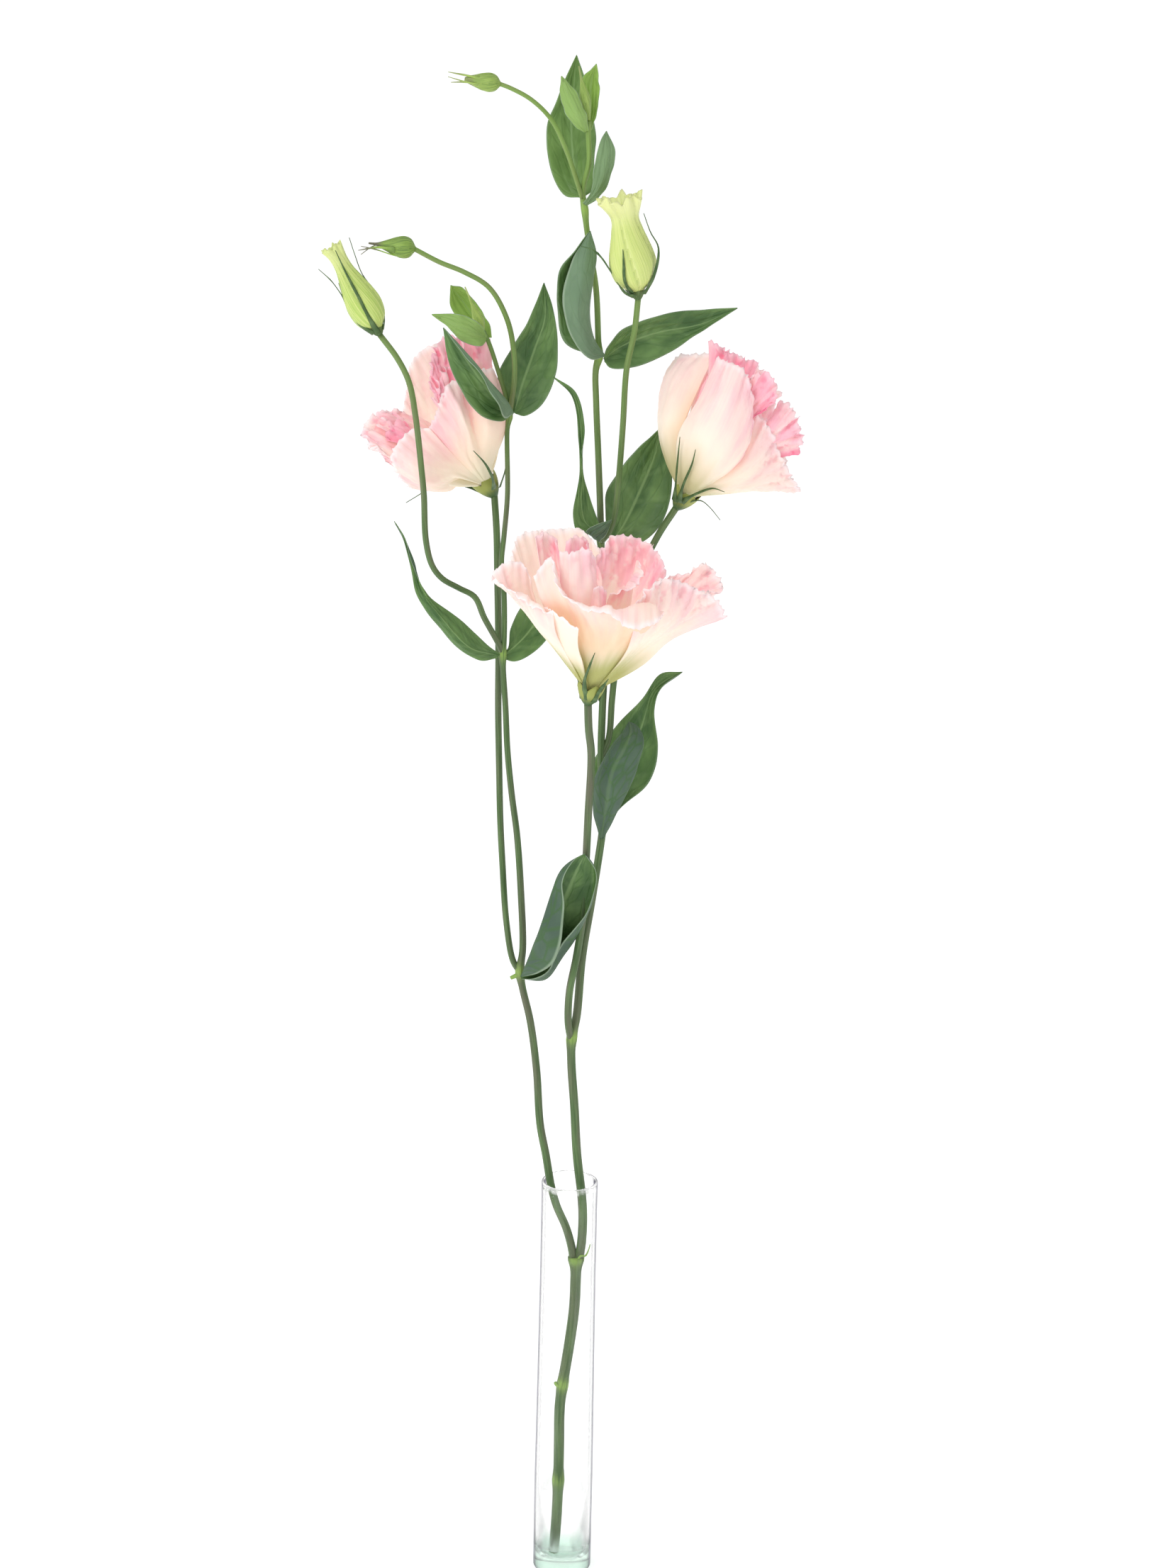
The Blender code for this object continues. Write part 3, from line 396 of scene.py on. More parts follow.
STEMS = [
    Stem("main_stem", [
        (-3.2, -0.5, 5.8), (-2.4, -0.4, 20), (-2, -0.2, 36), (-2, 0, 52), (-2, 0, 67), (-1, 0, 77),
        (1, -0.1, 92), (2.7, -0.2, 108), (3, -0.2, 120), (3, -0.2, 129)
    ], (1.9, 1.95), ((36, 0.4), (76, 0.3), (128.5, 1.1))),
    Stem("left_branch", [
        (2.2, -0.2, 127), (1.2, -0.4, 133), (-1, -0.7, 141), (-4.8, -1, 150), (-7, -1, 158),
        (-9.2, 0, 170), (-11.6, 1, 182), (-13.3, 2, 203), (-16, 3, 222), (-19.2, 4, 235), (-20.2, 4, 241),
        (-19.3, 4, 250), (-20.3, 5, 271), (-22.1, 6, 293), (-24.4, 7, 309), (-26.2, 8, 325),
        (-27.2, 9, 341), (-28.6, 10, 361), (-28.2, 10, 367), (-28.5, 11, 384), (-29.6, 12, 395),
        (-28.8, 12, 405), (-27.8, 12, 420), (-28.2, 12, 445), (-27.5, 12, 449), (-28.3, 11.4, 454),
        (-31.2, 9, 464), (-35, 6, 476), (-37, 5, 480.5)
    ], (1.5, 0.75), ((241, 0.5), (361, 0.4), (449, 0.4)), 0.55),
    Stem("right_branch", [
        (3.9, -0.2, 127), (4.9, -0.8, 135), (5.2, -2, 146), (4.6, -3.2, 155), (2.5, -4, 172),
        (1.1, -5, 192), (-0.3, -6, 209), (-0.4, -6, 219), (1.2, -5, 227), (2.8, -4, 250), (5.9, -3, 272),
        (9, -2, 296), (9.7, -1, 304), (8.6, 0, 317), (8.1, 1.2, 328), (8.2, 3.2, 343), (8.5, 6, 354),
        (8.3, 9, 367), (7.9, 12, 381), (7.1, 14, 394), (6.1, 14.5, 405), (6, 13.5, 411), (4.7, 11, 435),
        (3.5, 9, 455), (3.1, 8, 467), (4.2, 8, 472), (3.8, 7.8, 477), (2.6, 6, 496), (0.2, 4, 510),
        (-1.3, 3, 519), (-2, 2, 525), (-2.8, 1.8, 530), (-2.5, 0.6, 534), (-0.8, -3, 542),
        (-1.3, -4, 553), (-1.1, -4, 556.5)
    ], (1.65, 0.9), ((219, 0.5), (304, 0.3), (405, 0.4), (472, 0.4), (525, 0.35)), 0.45),
    Stem("left_flower_stalk", [
        (-20.2, 4, 241), (-22.8, 4.7, 245), (-25.6, 6, 260), (-27.4, 9, 281), (-28.5, 11, 297),
        (-29.3, 12.4, 318), (-30, 13.8, 340), (-30.2, 15.2, 360), (-30.6, 17.6, 372), (-31.2, 21.4, 388),
        (-31.8, 25, 403), (-33, 28, 417)
    ], (1.1, 1.2)),
    Stem("left_bud_stalk", [
        (-28.7, 10, 362), (-30.4, 8.6, 366), (-35.4, 5, 376), (-38.8, 3, 384), (-44.6, 0, 388),
        (-50.4, -3, 392), (-53.9, -5, 397), (-56.2, -8, 407), (-57, -10, 424), (-58, -12, 435),
        (-60.1, -13, 453), (-62.5, -13, 465), (-66.6, -12, 473), (-73, -10, 481)
    ], (1.1, 1.0), (), 0.4),
    Stem("left_nodding_bud_stalk", [
        (-27.6, 12, 449), (-25.9, 7, 462), (-26.1, 4, 473), (-28.7, 0, 486), (-35.1, -3, 497.5),
        (-43.8, -5, 503), (-52.5, -6, 506.5), (-61.5, -6, 511)
    ], (0.95, 0.85), (), 0.75),
    Stem("centre_flower_stalk", [
        (-0.6, -6, 218), (-1.8, -8.6, 226), (-1.6, -9, 238), (0.7, -10, 252), (2.7, -12, 269),
        (3.5, -15, 292), (3.9, -18, 309), (4.5, -22, 333), (3.4, -24, 343), (2.9, -25, 353)
    ], (1.3, 1.35), (), 0.6),
    Stem("right_flower_stalk", [
        (8.3, 1, 326), (10.7, 2.2, 332), (11.6, 4, 346), (12.3, 6, 354), (15.3, 10, 374), (21.2, 13, 393),
        (27, 13.4, 406), (33.4, 12, 417)
    ], (1.1, 1.2)),
    Stem("yellow_bud_stalk", [
        (6.5, 14, 403), (9.1, 11.6, 407), (10.9, 8.5, 413), (12.2, 4, 429), (13.2, 0, 449), (14, -5, 470),
        (16.4, -8.6, 484), (17.4, -10, 496)
    ], (1.05, 1.0)),
    Stem("top_nodding_bud_stalk", [
        (-3, 1.5, 529), (-8.5, -5, 545.5), (-14.1, -8, 557), (-21.1, -10, 564), (-28.5, -11, 568),
        (-32.4, -11, 569.4)
    ], (0.8, 0.75), (), 0.75),
]


class Blade(NamedTuple):
    """A sepal or an awn: its route, and half its width at the foot and in the middle."""
    route: list
    half_foot: float
    half_middle: float


class Calyx(NamedTuple):
    """The green cup under a flower or a bud: its foot, the way it points, and its sepals."""
    name: str
    foot: tuple
    axis: tuple
    sepals: list


CALYXES = [
    Calyx("centre_flower_calyx", (2.9, -25, 352.8), (0.14, -0.15, 0.98), [
        Blade([(2, -28, 355), (1.6, -33, 363), (3.2, -39, 370), (5, -43, 376)], 1.4, 0.8),
        Blade([(5, -28, 354), (7, -31, 359), (10, -33, 364)], 1.4, 0.8),
        Blade([(0.3, -26, 355), (-0.4, -28, 361), (-2, -30, 367)], 1.3, 0.8),
        Blade([(6.6, -24, 354), (10, -26, 361), (14, -27, 366)], 1.4, 0.8),
        Blade([(3, -22, 355), (2, -18, 362), (1, -13, 369)], 1.3, 0.8),
    ]),
    Calyx("left_flower_calyx", (-33, 28, 416.4), (-0.57, 0.02, 0.82), [
        Blade([(-33, 23, 420), (-33.6, 13, 426.6), (-36, 7, 432.5), (-40, 2, 438)], 1.3, 0.5),
        Blade([
            (-37, 27, 419), (-45, 22, 424), (-53, 14, 423.5), (-59, 8, 420.5), (-64, 4, 418)
        ], 0.9, 0.4),
        Blade([(-31, 27, 420), (-29, 24, 427), (-28, 22, 434)], 1.4, 0.8),
        Blade([(-34, 32, 420), (-37, 38, 427), (-39, 41, 435)], 1.4, 0.8),
        Blade([(-37, 30, 417), (-45, 33, 419), (-52, 35, 420)], 1.4, 0.8),
    ]),
    Calyx("right_flower_calyx", (33.4, 12, 416.8), (0.52, 0.0, 0.85), [
        Blade([(32.5, 8, 420), (32.6, 3, 427), (32.8, -1.5, 434), (33.5, -5, 446)], 1.4, 0.4),
        Blade([(34, 7, 420), (35.3, -1, 428), (38, -8, 437), (39, -12, 443)], 1.4, 0.45),
        Blade([(35, 7, 420), (40.5, 1, 424.5), (46, -2, 427), (50, -3, 426)], 1.4, 0.45),
        Blade([(37, 9, 419.5), (42, 7, 420.5), (45, 6, 418.5), (49, 5, 414)], 0.8, 0.2),
        Blade([(34, 17, 420), (36, 24, 427), (37, 28, 435)], 1.4, 0.8),
    ]),
    Calyx("left_bud_calyx", (-73, -10, 481), (-0.48, 0.0, 0.88), [
        Blade([
            (-75, -13, 482), (-80, -13.5, 485), (-83.8, -13, 490), (-86.3, -12, 495), (-90, -12, 500),
            (-94.5, -12, 504)
        ], 1.3, 0.35),
        Blade([
            (-73.5, -13, 482), (-77, -16.2, 489), (-79.5, -16.4, 494), (-84.5, -14.8, 503),
            (-88.5, -13.8, 511)
        ], 1.3, 0.5),
        Blade([
            (-72, -10, 483), (-71.6, -10, 487), (-72.9, -10, 493), (-75.9, -10, 497.5),
            (-79.5, -10, 502.5), (-82, -10, 509), (-84, -10, 515)
        ], 1.2, 0.35),
        Blade([(-74, -6.5, 484), (-79, -5, 496), (-85, -7, 505)], 1.3, 0.5),
        Blade([(-76, -11, 482), (-81.5, -11, 486), (-85, -10.5, 492), (-87.5, -10, 499)], 1.3, 0.4),
    ]),
    Calyx("yellow_bud_calyx", (17.4, -10, 495.5), (-0.18, 0.0, 0.98), [
        Blade([(15, -13, 498), (12.5, -17, 503), (12, -18, 509), (11.6, -17, 514)], 1.3, 0.6),
        Blade([
            (19.5, -12, 498), (22.5, -14, 504), (24, -12.5, 514), (21, -12, 519.5), (18.5, -12, 526)
        ], 1.5, 0.7),
        Blade([
            (14, -10, 498), (8, -12, 505), (4.4, -12, 510), (1.6, -12, 512.6), (-3, -12, 514)
        ], 1.3, 0.6),
        Blade([(17, -7, 498), (16, -2, 505), (15, -2, 514)], 1.5, 0.9),
        Blade([(16, -13, 497), (13, -15, 498.4), (9.7, -17, 502.6)], 1.3, 0.7),
    ]),
]


class Bud(NamedTuple):
    """A closed bud: its foot, the way it points, and its outline as (radius, height)."""
    name: str
    foot: tuple
    axis: tuple
    outline: list
    ripe: float = 0.0  # how far it has come: 0 green, 0.5 lime, 1 pale yellow
    flare: float = 0.0  # how far its mouth has opened
    awns: tuple = ()  # the brown points that a young bud's sepals end in


BUDS = [
    Bud("left_bud_petals", (-73, -10, 481), (-0.48, 0.0, 0.88), [
        (2.4, 2.5), (5.1, 6), (6.0, 11), (5.4, 16), (4.2, 21), (3.0, 26), (2.8, 30), (3.5, 35)
    ], 0.6, 0.45),
    Bud("yellow_bud_petals", (17.4, -10, 495.5), (-0.18, 0.0, 0.98), [
        (2.4, 3), (6.3, 6.5), (7.8, 11.5), (7.5, 16), (6.4, 20.5), (5.2, 25), (4.6, 29), (6.2, 33),
        (7.4, 36)
    ], 1.0, 0.9),
    Bud("left_nodding_bud", (-61.5, -6, 511), (-0.99, 0.0, 0.1), [
        (0.9, -0.5), (3.1, 1.2), (3.7, 3.4), (3.1, 6.4), (2.1, 9), (1.3, 11), (0.6, 13), (0.3, 16)
    ], 0.0, 0.0, [
        Blade([(-68, -9, 511), (-74, -8, 511.5), (-81, -6, 510)], 1.3, 0.4),
        Blade([(-67, -6, 514), (-72, -6, 512.6), (-76, -6, 511.4), (-80, -6, 508.5)], 1.3, 0.35),
        Blade([(-65, -7, 508.3), (-69, -7.5, 509), (-74, -7, 510.4), (-80, -6, 511.5)], 1.8, 0.45),
    ]),
    Bud("top_nodding_bud", (-32.4, -11, 569.3), (-0.99, 0.0, 0.12), [
        (0.8, -0.5), (2.5, 1.0), (3.1, 3.0), (2.7, 6.0), (1.9, 8.5), (1.3, 10.5), (0.5, 12.0)
    ], 0.18, 0.0, [
        Blade([(-38, -13, 571), (-43, -12.5, 572), (-50, -11, 573)], 1.1, 0.35),
        Blade([(-38, -10, 568), (-43, -10, 569.5), (-49, -11, 569.5)], 1.1, 0.35),
        Blade([(-38, -13, 569), (-44, -13, 570), (-50, -12, 571.5)], 1.0, 0.3),
    ]),
    Bud("left_tiny_bud", (-37.3, 4.7, 481), (-0.38, -0.12, 0.92), [
        (0.5, -0.5), (1.5, 2), (1.9, 4.5), (1.2, 7.5), (0.5, 11), (0.2, 17)
    ], 0.3),
    Bud("top_tiny_bud", (-1.2, -4, 556.9), (-0.2, -0.1, 0.97), [
        (0.5, -0.5), (1.2, 3), (1.8, 7), (1.3, 10.5), (0.5, 14), (0.2, 19)
    ], 0.2),
]


class Scar(NamedTuple):
    """What is left at a stem's joint, such as a leaf's stub: its route, and its radius at both ends."""
    stem: str
    route: list
    foot: float
    tip: float


SCARS = [
    Scar("main_stem", [
        (3.2, -1.8, 127.5), (4.9, -2.4, 130.5), (6.4, -2.6, 130.4), (7.6, -2.6, 132.8), (8.2, -2.4, 135.2)
    ], 0.55, 0.2),
    Scar("main_stem", [(-1.4, -0.4, 75.6), (-3.2, -0.8, 76.2), (-4.0, -0.9, 77.4)], 1.0, 0.6),
    Scar("left_branch", [(-19.8, 3.8, 240.4), (-22, 3.8, 239.4), (-23.6, 3.8, 238.6)], 1.1, 0.7),
]


# ---- curves and surfaces -----------------------------------------------------------------

FINE_STEPS = 16  # places worked out along a smooth line for each point that it passes


def spline(knots, values, at):
    """Values on a smooth curve that passes through the given ones at their knots."""
    values = np.asarray(values, float)
    span = np.diff(knots)
    wide = (-1,) + (1,) * (values.ndim - 1)
    slope = np.diff(values, axis=0) / span.reshape(wide)
    tangent = np.concatenate([slope[:1], slope])
    share = (span[1:] / (span[1:] + span[:-1])).reshape(wide)
    tangent[1:-1] = slope[:-1] * share + slope[1:] * (1 - share)
    k = np.clip(np.searchsorted(knots, at, side="right") - 1, 0, len(span) - 1)
    length = span[k].reshape(wide)
    s = ((at - knots[k]) / span[k]).reshape(wide)
    return ((1 + 2 * s) * (1 - s) ** 2 * values[k] + s * (1 - s) ** 2 * length * tangent[k]
            + s * s * (3 - 2 * s) * values[k + 1] + s * s * (s - 1) * length * tangent[k + 1])


def gaps(places, axis=0):
    """The distances between neighbours in a line or a grid of places."""
    return np.linalg.norm(np.diff(places, axis=axis), axis=-1)


def running(lengths):
    """Where lengths laid end to end meet, from 0 on."""
    return np.concatenate([[0], np.cumsum(lengths)])


def even_line(points, count):
    """count places, evenly spaced by length, on a smooth line through points."""
    points = np.asarray(points, float)
    knots = running(np.sqrt(gaps(points)))
    fine = spline(knots, points, np.linspace(0, knots[-1], FINE_STEPS * len(points)))
    run = running(gaps(fine))
    places = np.linspace(0, run[-1], count)
    return np.stack([np.interp(places, run, fine[:, k]) for k in range(3)], axis=1)


def net(ribs, rows, columns):
    """A grid of places, rows from foot to rim, on the smooth surface through the ribs."""
    lines = np.array([even_line(rib, rows) for rib in ribs])
    knots = running(gaps(lines).mean(axis=1))
    return spline(knots, lines, np.linspace(0, knots[-1], columns)).transpose(1, 0, 2)


def unit(vectors):
    """The same directions, each of length 1."""
    return vectors / np.maximum(np.linalg.norm(vectors, axis=-1, keepdims=True), 1e-9)


def hump(offset, width):
    """1 at no offset, falling off smoothly on both sides of it."""
    return np.exp(-(offset / width) ** 2)


def around(sides):
    """Evenly spaced angles, once round."""
    return np.linspace(0, 2 * math.pi, sides, endpoint=False)


def circle(turns, right, back):
    """The directions outward at these angles, in the plane of two others."""
    return np.cos(turns)[..., None] * right + np.sin(turns)[..., None] * back


def own_frame(axis):
    """Right, back and up directions of something that points along axis."""
    up = unit(np.array(axis, float))
    right = unit(np.cross((0.0, 1.0, 0.0), up))
    return right, np.cross(up, right), up


def grid_normals(grid):
    """The direction out of the grid at each place: along the rows crossed with across them."""
    return unit(np.cross(np.gradient(grid, axis=0), np.gradient(grid, axis=1)))


def folds(grid, normals, reach):
    """How deep in a fold each place is, seen from the side that the normals point to."""
    smooth = grid.copy()
    for _ in range(reach):
        smooth[1:-1, 1:-1] = (smooth[:-2, 1:-1] + smooth[2:, 1:-1] + smooth[1:-1, :-2] + smooth[1:-1, 2:]) / 4
    return ((smooth - grid) * normals).sum(axis=2)


def add_piece(name, vertices, faces, finish, replaces, marks):
    """A mesh piece that rides on the frame. marks are numbers that its finish reads, one per vertex."""
    mesh = bpy.data.meshes.new(name)
    mesh.from_pydata([tuple(v) for v in np.asarray(vertices) * MM], [], faces)
    mesh.shade_smooth()
    for mark, values in marks.items():
        mesh.attributes.new(mark, "FLOAT", "POINT").data.foreach_set("value", np.asarray(values, np.float32))
    mesh.materials.append(finish)
    piece = bpy.data.objects.new(name, mesh)
    bpy.context.scene.collection.objects.link(piece)
    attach(piece, "root")
    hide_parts(replaces)


def sheet(name, grid, normals, thickness, finish, replaces, marks):
    """A thin closed solid on both sides of a grid of places.

    A mark is one value for both sides, or two: for the side that the normals point to and for the other.
    """
    rows, columns = grid.shape[:2]
    half = normals * (thickness / 2)[..., None]
    vertices = np.concatenate([(grid + half).reshape(-1, 3), (grid - half).reshape(-1, 3)])
    under = rows * columns
    faces = []
    for i in range(rows - 1):
        for j in range(columns - 1):
            a = i * columns + j
            faces.append((a, a + columns, a + columns + 1, a + 1))
            faces.append((under + a, under + a + 1, under + a + columns + 1, under + a + columns))
    border = list(range(columns - 1)) + [i * columns + columns - 1 for i in range(rows - 1)]
    border += list(range(under - 1, under - columns, -1)) + [i * columns for i in range(rows - 1, 0, -1)]
    for a, b in zip(border, border[1:] + border[:1]):
        faces.append((a, b, under + b, under + a))
    if (grid_normals(grid) * normals).sum() < 0:
        faces = [face[::-1] for face in faces]
    both = {}
    for mark, values in marks.items():
        pair = values if isinstance(values, tuple) else (values, values)
        both[mark] = np.concatenate([np.broadcast_to(side, (rows, columns)).ravel() for side in pair])
    add_piece(name, vertices, faces, finish, replaces, both)


def tube_faces(rings, sides):
    """The faces of a closed tube: round its rings of vertices, and over both of its ends."""
    faces = []
    for i in range(rings - 1):
        for k in range(sides):
            a, b = i * sides + k, i * sides + (k + 1) % sides
            faces.append((a, b, b + sides, a + sides))
    faces.append(tuple(reversed(range(sides))))
    faces.append(tuple(range((rings - 1) * sides, rings * sides)))
    return faces


def ring_tube(centres, radii, turns, ridge=0.0):
    """Rings of vertices along a route, with four ridges along it, and the faces of the closed tube."""
    along = unit(np.gradient(centres, axis=0))
    side = np.array([1.0, 0.0, 0.0]) if abs(along[0][0]) < 0.9 else np.array([0.0, 1.0, 0.0])
    ridged = (1 + ridge * np.cos(4 * turns))[:, None]
    rings = []
    for centre, radius, direction in zip(centres, radii, along):
        side = unit(side - direction * side.dot(direction))
        rings.append(centre + radius * ridged * circle(turns, side, np.cross(direction, side)))
    return np.concatenate(rings), tube_faces(len(centres), len(turns))


class Parts:
    """Several closed solids that make up one piece."""

    def __init__(self):
        self.vertices, self.faces, self.marks = [], [], {}
        self.count = 0

    def add(self, vertices, faces, **marks):
        """One more solid; a mark is one number for all of it, or one for each vertex."""
        self.vertices.append(np.asarray(vertices))
        self.faces += [tuple(self.count + k for k in face) for face in faces]
        self.count += len(vertices)
        for mark, values in marks.items():
            self.marks.setdefault(mark, []).append(np.broadcast_to(values, len(vertices)))

    def make(self, name, finish):
        """The finished piece, in place of the frame's node of that name."""
        marks = {mark: np.concatenate(values) for mark, values in self.marks.items()}
        vertices = np.concatenate(self.vertices)
        add_piece(name + "_skin", vertices, self.faces, finish, name, marks)


# ---- petals ------------------------------------------------------------------------------

PETAL_ROWS, PETAL_COLUMNS = 56, 84
FOOT_RADIUS = 1.6  # mm from the middle of the throat to the foot of a petal
FOOT_LEVEL = 0.75  # how much of a petal's rise is left out of the way that its foot points
DENTS = ((11, 0.4, 0.4), (7.3, -0.7, 0.3), (5.1, 1.6, 0.18), (3.7, -2.2, 0.12))  # mm long, lean, share
DENT_HEIGHT = 0.9  # of the dents, in ruffles
RUFFLE, CRIMP = 5.2, 3.1  # mm from one wave of the rim to the next, and of the fine waves right at it
TOOTH, NICK = 3.4, 2.2  # mm from one long and one short tooth of the rim to the next
FOLD_REACH = 30  # rounds of smoothing that a fold is measured from
FOLD_DEPTH = 0.5  # mm, a fold that counts in full


def waves(run, length, phase):
    """A lively wave along a rim, about from -1 to 1."""
    turn = 2 * math.pi * run / length
    return (0.6 * np.sin(turn + phase) + 0.3 * np.sin(1.6 * turn + 2.3 * phase)
            + 0.15 * np.sin(2.2 * turn - phase))


def dents(run, height, phase):
    """Soft dents and bulges over a petal, about from -1 to 1."""
    total = 0
    for k, (length, lean, share) in enumerate(DENTS):
        total = total + share * np.sin(2 * math.pi * (run + lean * height) / length + phase * (k + 1.3))
    return total


def make_petal(flower, petal, seed, sizes, finish):
    """One petal, ruffled towards its rim, with its folds and veins marked for its finish."""
    throat, axis = np.array(flower.throat, float), unit(np.array(flower.axis))
    ribs = []
    for rib in petal.ribs:
        out = np.array(rib[0]) - throat
        out = out - FOOT_LEVEL * out.dot(axis) * axis
        ribs.append([throat + FOOT_RADIUS * unit(out), *rib])
    grid = net(ribs, PETAL_ROWS, PETAL_COLUMNS)
    up = np.linspace(0, 1, PETAL_ROWS)[:, None]
    side = np.linspace(0, 1, PETAL_COLUMNS)[None, :]
    run = running(gaps(grid[-1]))[None, :]
    length = gaps(grid).sum(axis=0).mean()
    ruffle = petal.frill * sizes.ruffle_height / MM
    free = np.sin(math.pi * side) ** 0.5
    dented = DENT_HEIGHT * ruffle * up ** 2 * free * dents(run, up * length, seed)
    grid = grid + grid_normals(grid) * dented[..., None]
    normals = grid_normals(grid)
    depth = np.clip(folds(grid, normals, FOLD_REACH) / FOLD_DEPTH, -1, 1)
    ruffled = ruffle * up ** 7 * waves(run + 3 * up, RUFFLE, seed)
    crimped = 0.3 * ruffle * up ** 14 * waves(run, CRIMP, 2.1 * seed)
    grid = grid + normals * (ruffled + crimped)[..., None]
    teeth = 0.6 * petal.frill * up ** 6 * waves(run, TOOTH, 1.3 * seed)
    nicks = 0.3 * up ** 12 * waves(run, NICK, seed)
    grid = grid + unit(np.gradient(grid, axis=0)) * (teeth + nicks)[..., None]
    thickness = (sizes.petal_foot + (sizes.petal_rim - sizes.petal_foot) * up ** 1.5) / MM
    marks = {
        "up": up,
        "across": run + 10 * seed,
        # fold: how deep in a fold each place lies; the finish paints shade into the folds from it.
        "fold": (depth, -depth),
        "blush": petal.blush + petal.first * (1 - side) ** 9,
        # The last edge adds painted peach shade to the warmth.
        "warmth": petal.warmth + petal.last_edge_shade * side ** 6,
        "green": flower.green,
    }
    sheet(f"{flower.name}_{petal.name}", grid, grid_normals(grid), thickness, finish,
          f"{flower.name}_{petal.stands_for}", marks)


# ---- leaves ------------------------------------------------------------------------------

LEAF_ROWS, LEAF_COLUMNS = 56, 29
LEAF_FOOT, LEAF_TIP = 0.9, 0.15  # mm, half the width of a blade at its ends
GROOVE, GROOVE_WIDTH = 0.45, 0.07  # mm deep over the midrib, and wide as a share of half the blade
MIDRIB, MIDRIB_WIDTH = 0.5, 0.09  # mm thick under the blade, and wide as the groove is
PLEAT = 0.22  # mm, the hollows beside the midrib
MARGIN_WAVE, MARGIN_WAVE_LENGTH = 0.5, 14  # mm, how far the margins wave and from one wave to the next


def make_leaf(leaf, seed, sizes, finish):
    """One leaf blade, a little hollow beside its midrib, with a soft wave along its margins."""
    foot, tip = np.array(leaf.foot, float), np.array(leaf.tip, float)
    cross = unit(np.array(leaf.ribs[-1][0], float) - np.array(leaf.ribs[0][0], float))
    asides = np.linspace(-1, 1, len(leaf.ribs))
    ribs = [[foot + LEAF_FOOT * aside * cross, *rib, tip + LEAF_TIP * aside * cross]
            for aside, rib in zip(asides, leaf.ribs)]
    grid = net(ribs, LEAF_ROWS, LEAF_COLUMNS)
    up = np.linspace(0, 1, LEAF_ROWS)[:, None]
    across = np.linspace(-1, 1, LEAF_COLUMNS)[None, :]
    body = np.sin(math.pi * up) ** 0.6
    groove = -GROOVE * hump(across, GROOVE_WIDTH)
    pleat = PLEAT * np.cos(5 * math.pi * across) * (1 - across ** 2)
    wave = MARGIN_WAVE * across ** 2 * waves(40 * up + 3 * across, MARGIN_WAVE_LENGTH, seed)
    grid = grid + leaf.upper * grid_normals(grid) * (body * (groove + pleat + wave))[..., None]
    midrib = MIDRIB * hump(across, MIDRIB_WIDTH) * (1 - 0.8 * up)
    thickness = sizes.leaf_thickness / MM * (1 - 0.4 * across ** 2) + midrib
    length = gaps(grid[:, LEAF_COLUMNS // 2]).sum()
    width = gaps(grid, axis=1).sum(axis=1).max()
    marks = {
        "up": up * length,
        "across": across * width / 2 + 100 * seed,
        "edge": abs(across),
        "under": (0, 1),
        "fresh": leaf_freshness(leaf),
    }
    sheet(leaf.name, grid, leaf.upper * grid_normals(grid), thickness, finish, leaf.name, marks)


def leaf_freshness(leaf):
    """How lime green a leaf is: the small young ones at the tips most."""
    return 1.0 if "cluster" in leaf.name else 0.25 if "top" in leaf.name else 0.0


# ---- stems -------------------------------------------------------------------------------

STEM_SIDES = 18
STEM_STEP = 1.5  # mm between rings
STEM_RIDGE = 0.05  # height of the ridges, as a share of the radius
NODE_REACH, SCAR_REACH = 3.2, 2.4  # mm up and down from a node that its swelling and its scar reach
STUB_RINGS, STUB_SIDES = 14, 8  # of what is left at the joints


def make_stem(stem, finish):
    """A slightly ridged round stem, swollen at its nodes, with what is left at its joints."""
    length = gaps(stem.route).sum()
    rings = round(length / STEM_STEP)
    centres = even_line(stem.route, rings)
    share = np.linspace(0, 1, rings)
    radii = stem.radii[0] + (stem.radii[1] - stem.radii[0]) * share
    scarred = np.zeros(rings)
    for height, swell in stem.nodes:
        above = centres[:, 2] - height
        radii = radii + swell * hump(above, NODE_REACH)
        scarred = np.maximum(scarred, 0.8 * hump(above - 0.5, SCAR_REACH))
    turns = around(STEM_SIDES)
    parts = Parts()
    parts.add(*ring_tube(centres, radii, turns, STEM_RIDGE), purple=stem.purple,
              height=np.repeat(share * length, STEM_SIDES), scar=np.repeat(scarred, STEM_SIDES),
              turn=np.tile(turns / (2 * math.pi), rings))
    for scar in SCARS:
        if scar.stem == stem.name:
            line, taper = even_line(scar.route, STUB_RINGS), np.linspace(scar.foot, scar.tip, STUB_RINGS)
            parts.add(*ring_tube(line, taper, around(STUB_SIDES)), height=0.0, scar=1.0, purple=0.0, turn=0.0)
    parts.make(stem.name, finish)


# ---- calyxes and buds --------------------------------------------------------------------

CUP = [(1.2, -0.6), (2.4, 0.8), (3.6, 2.8), (4.6, 5.2), (5.1, 7.6)]  # radius and height of a flower's cup
CUP_RINGS, CUP_SIDES = 12, 30
CUP_LOBES = 5
CUP_RIB, CUP_LOBE = 0.06, 0.22  # how far its ribs stand out and its lobes reach up, as shares of its size
BUD_CUP, BUD_CUP_OLIVE = 0.6, 0.25  # size and colour of a bud's cup beside a flower's
CUP_HEART = 4  # mm up the cup: its sepals' flat sides face this place
SEPAL_GRAIN = 20  # mm of a cup's grain that is drawn out along a sepal
BLADE_ROWS = 24
BLADE_TIP = 0.12  # mm, half the width of a blade's tip
BLADE_SECTION = [  # aside and outward, as shares of half the width and of the thickness
    (-1, 0.0), (-0.5, 0.26), (0, 0.42), (0.5, 0.26), (1, 0.0), (0.5, -0.12), (0, -0.05), (-0.5, -0.12)
]


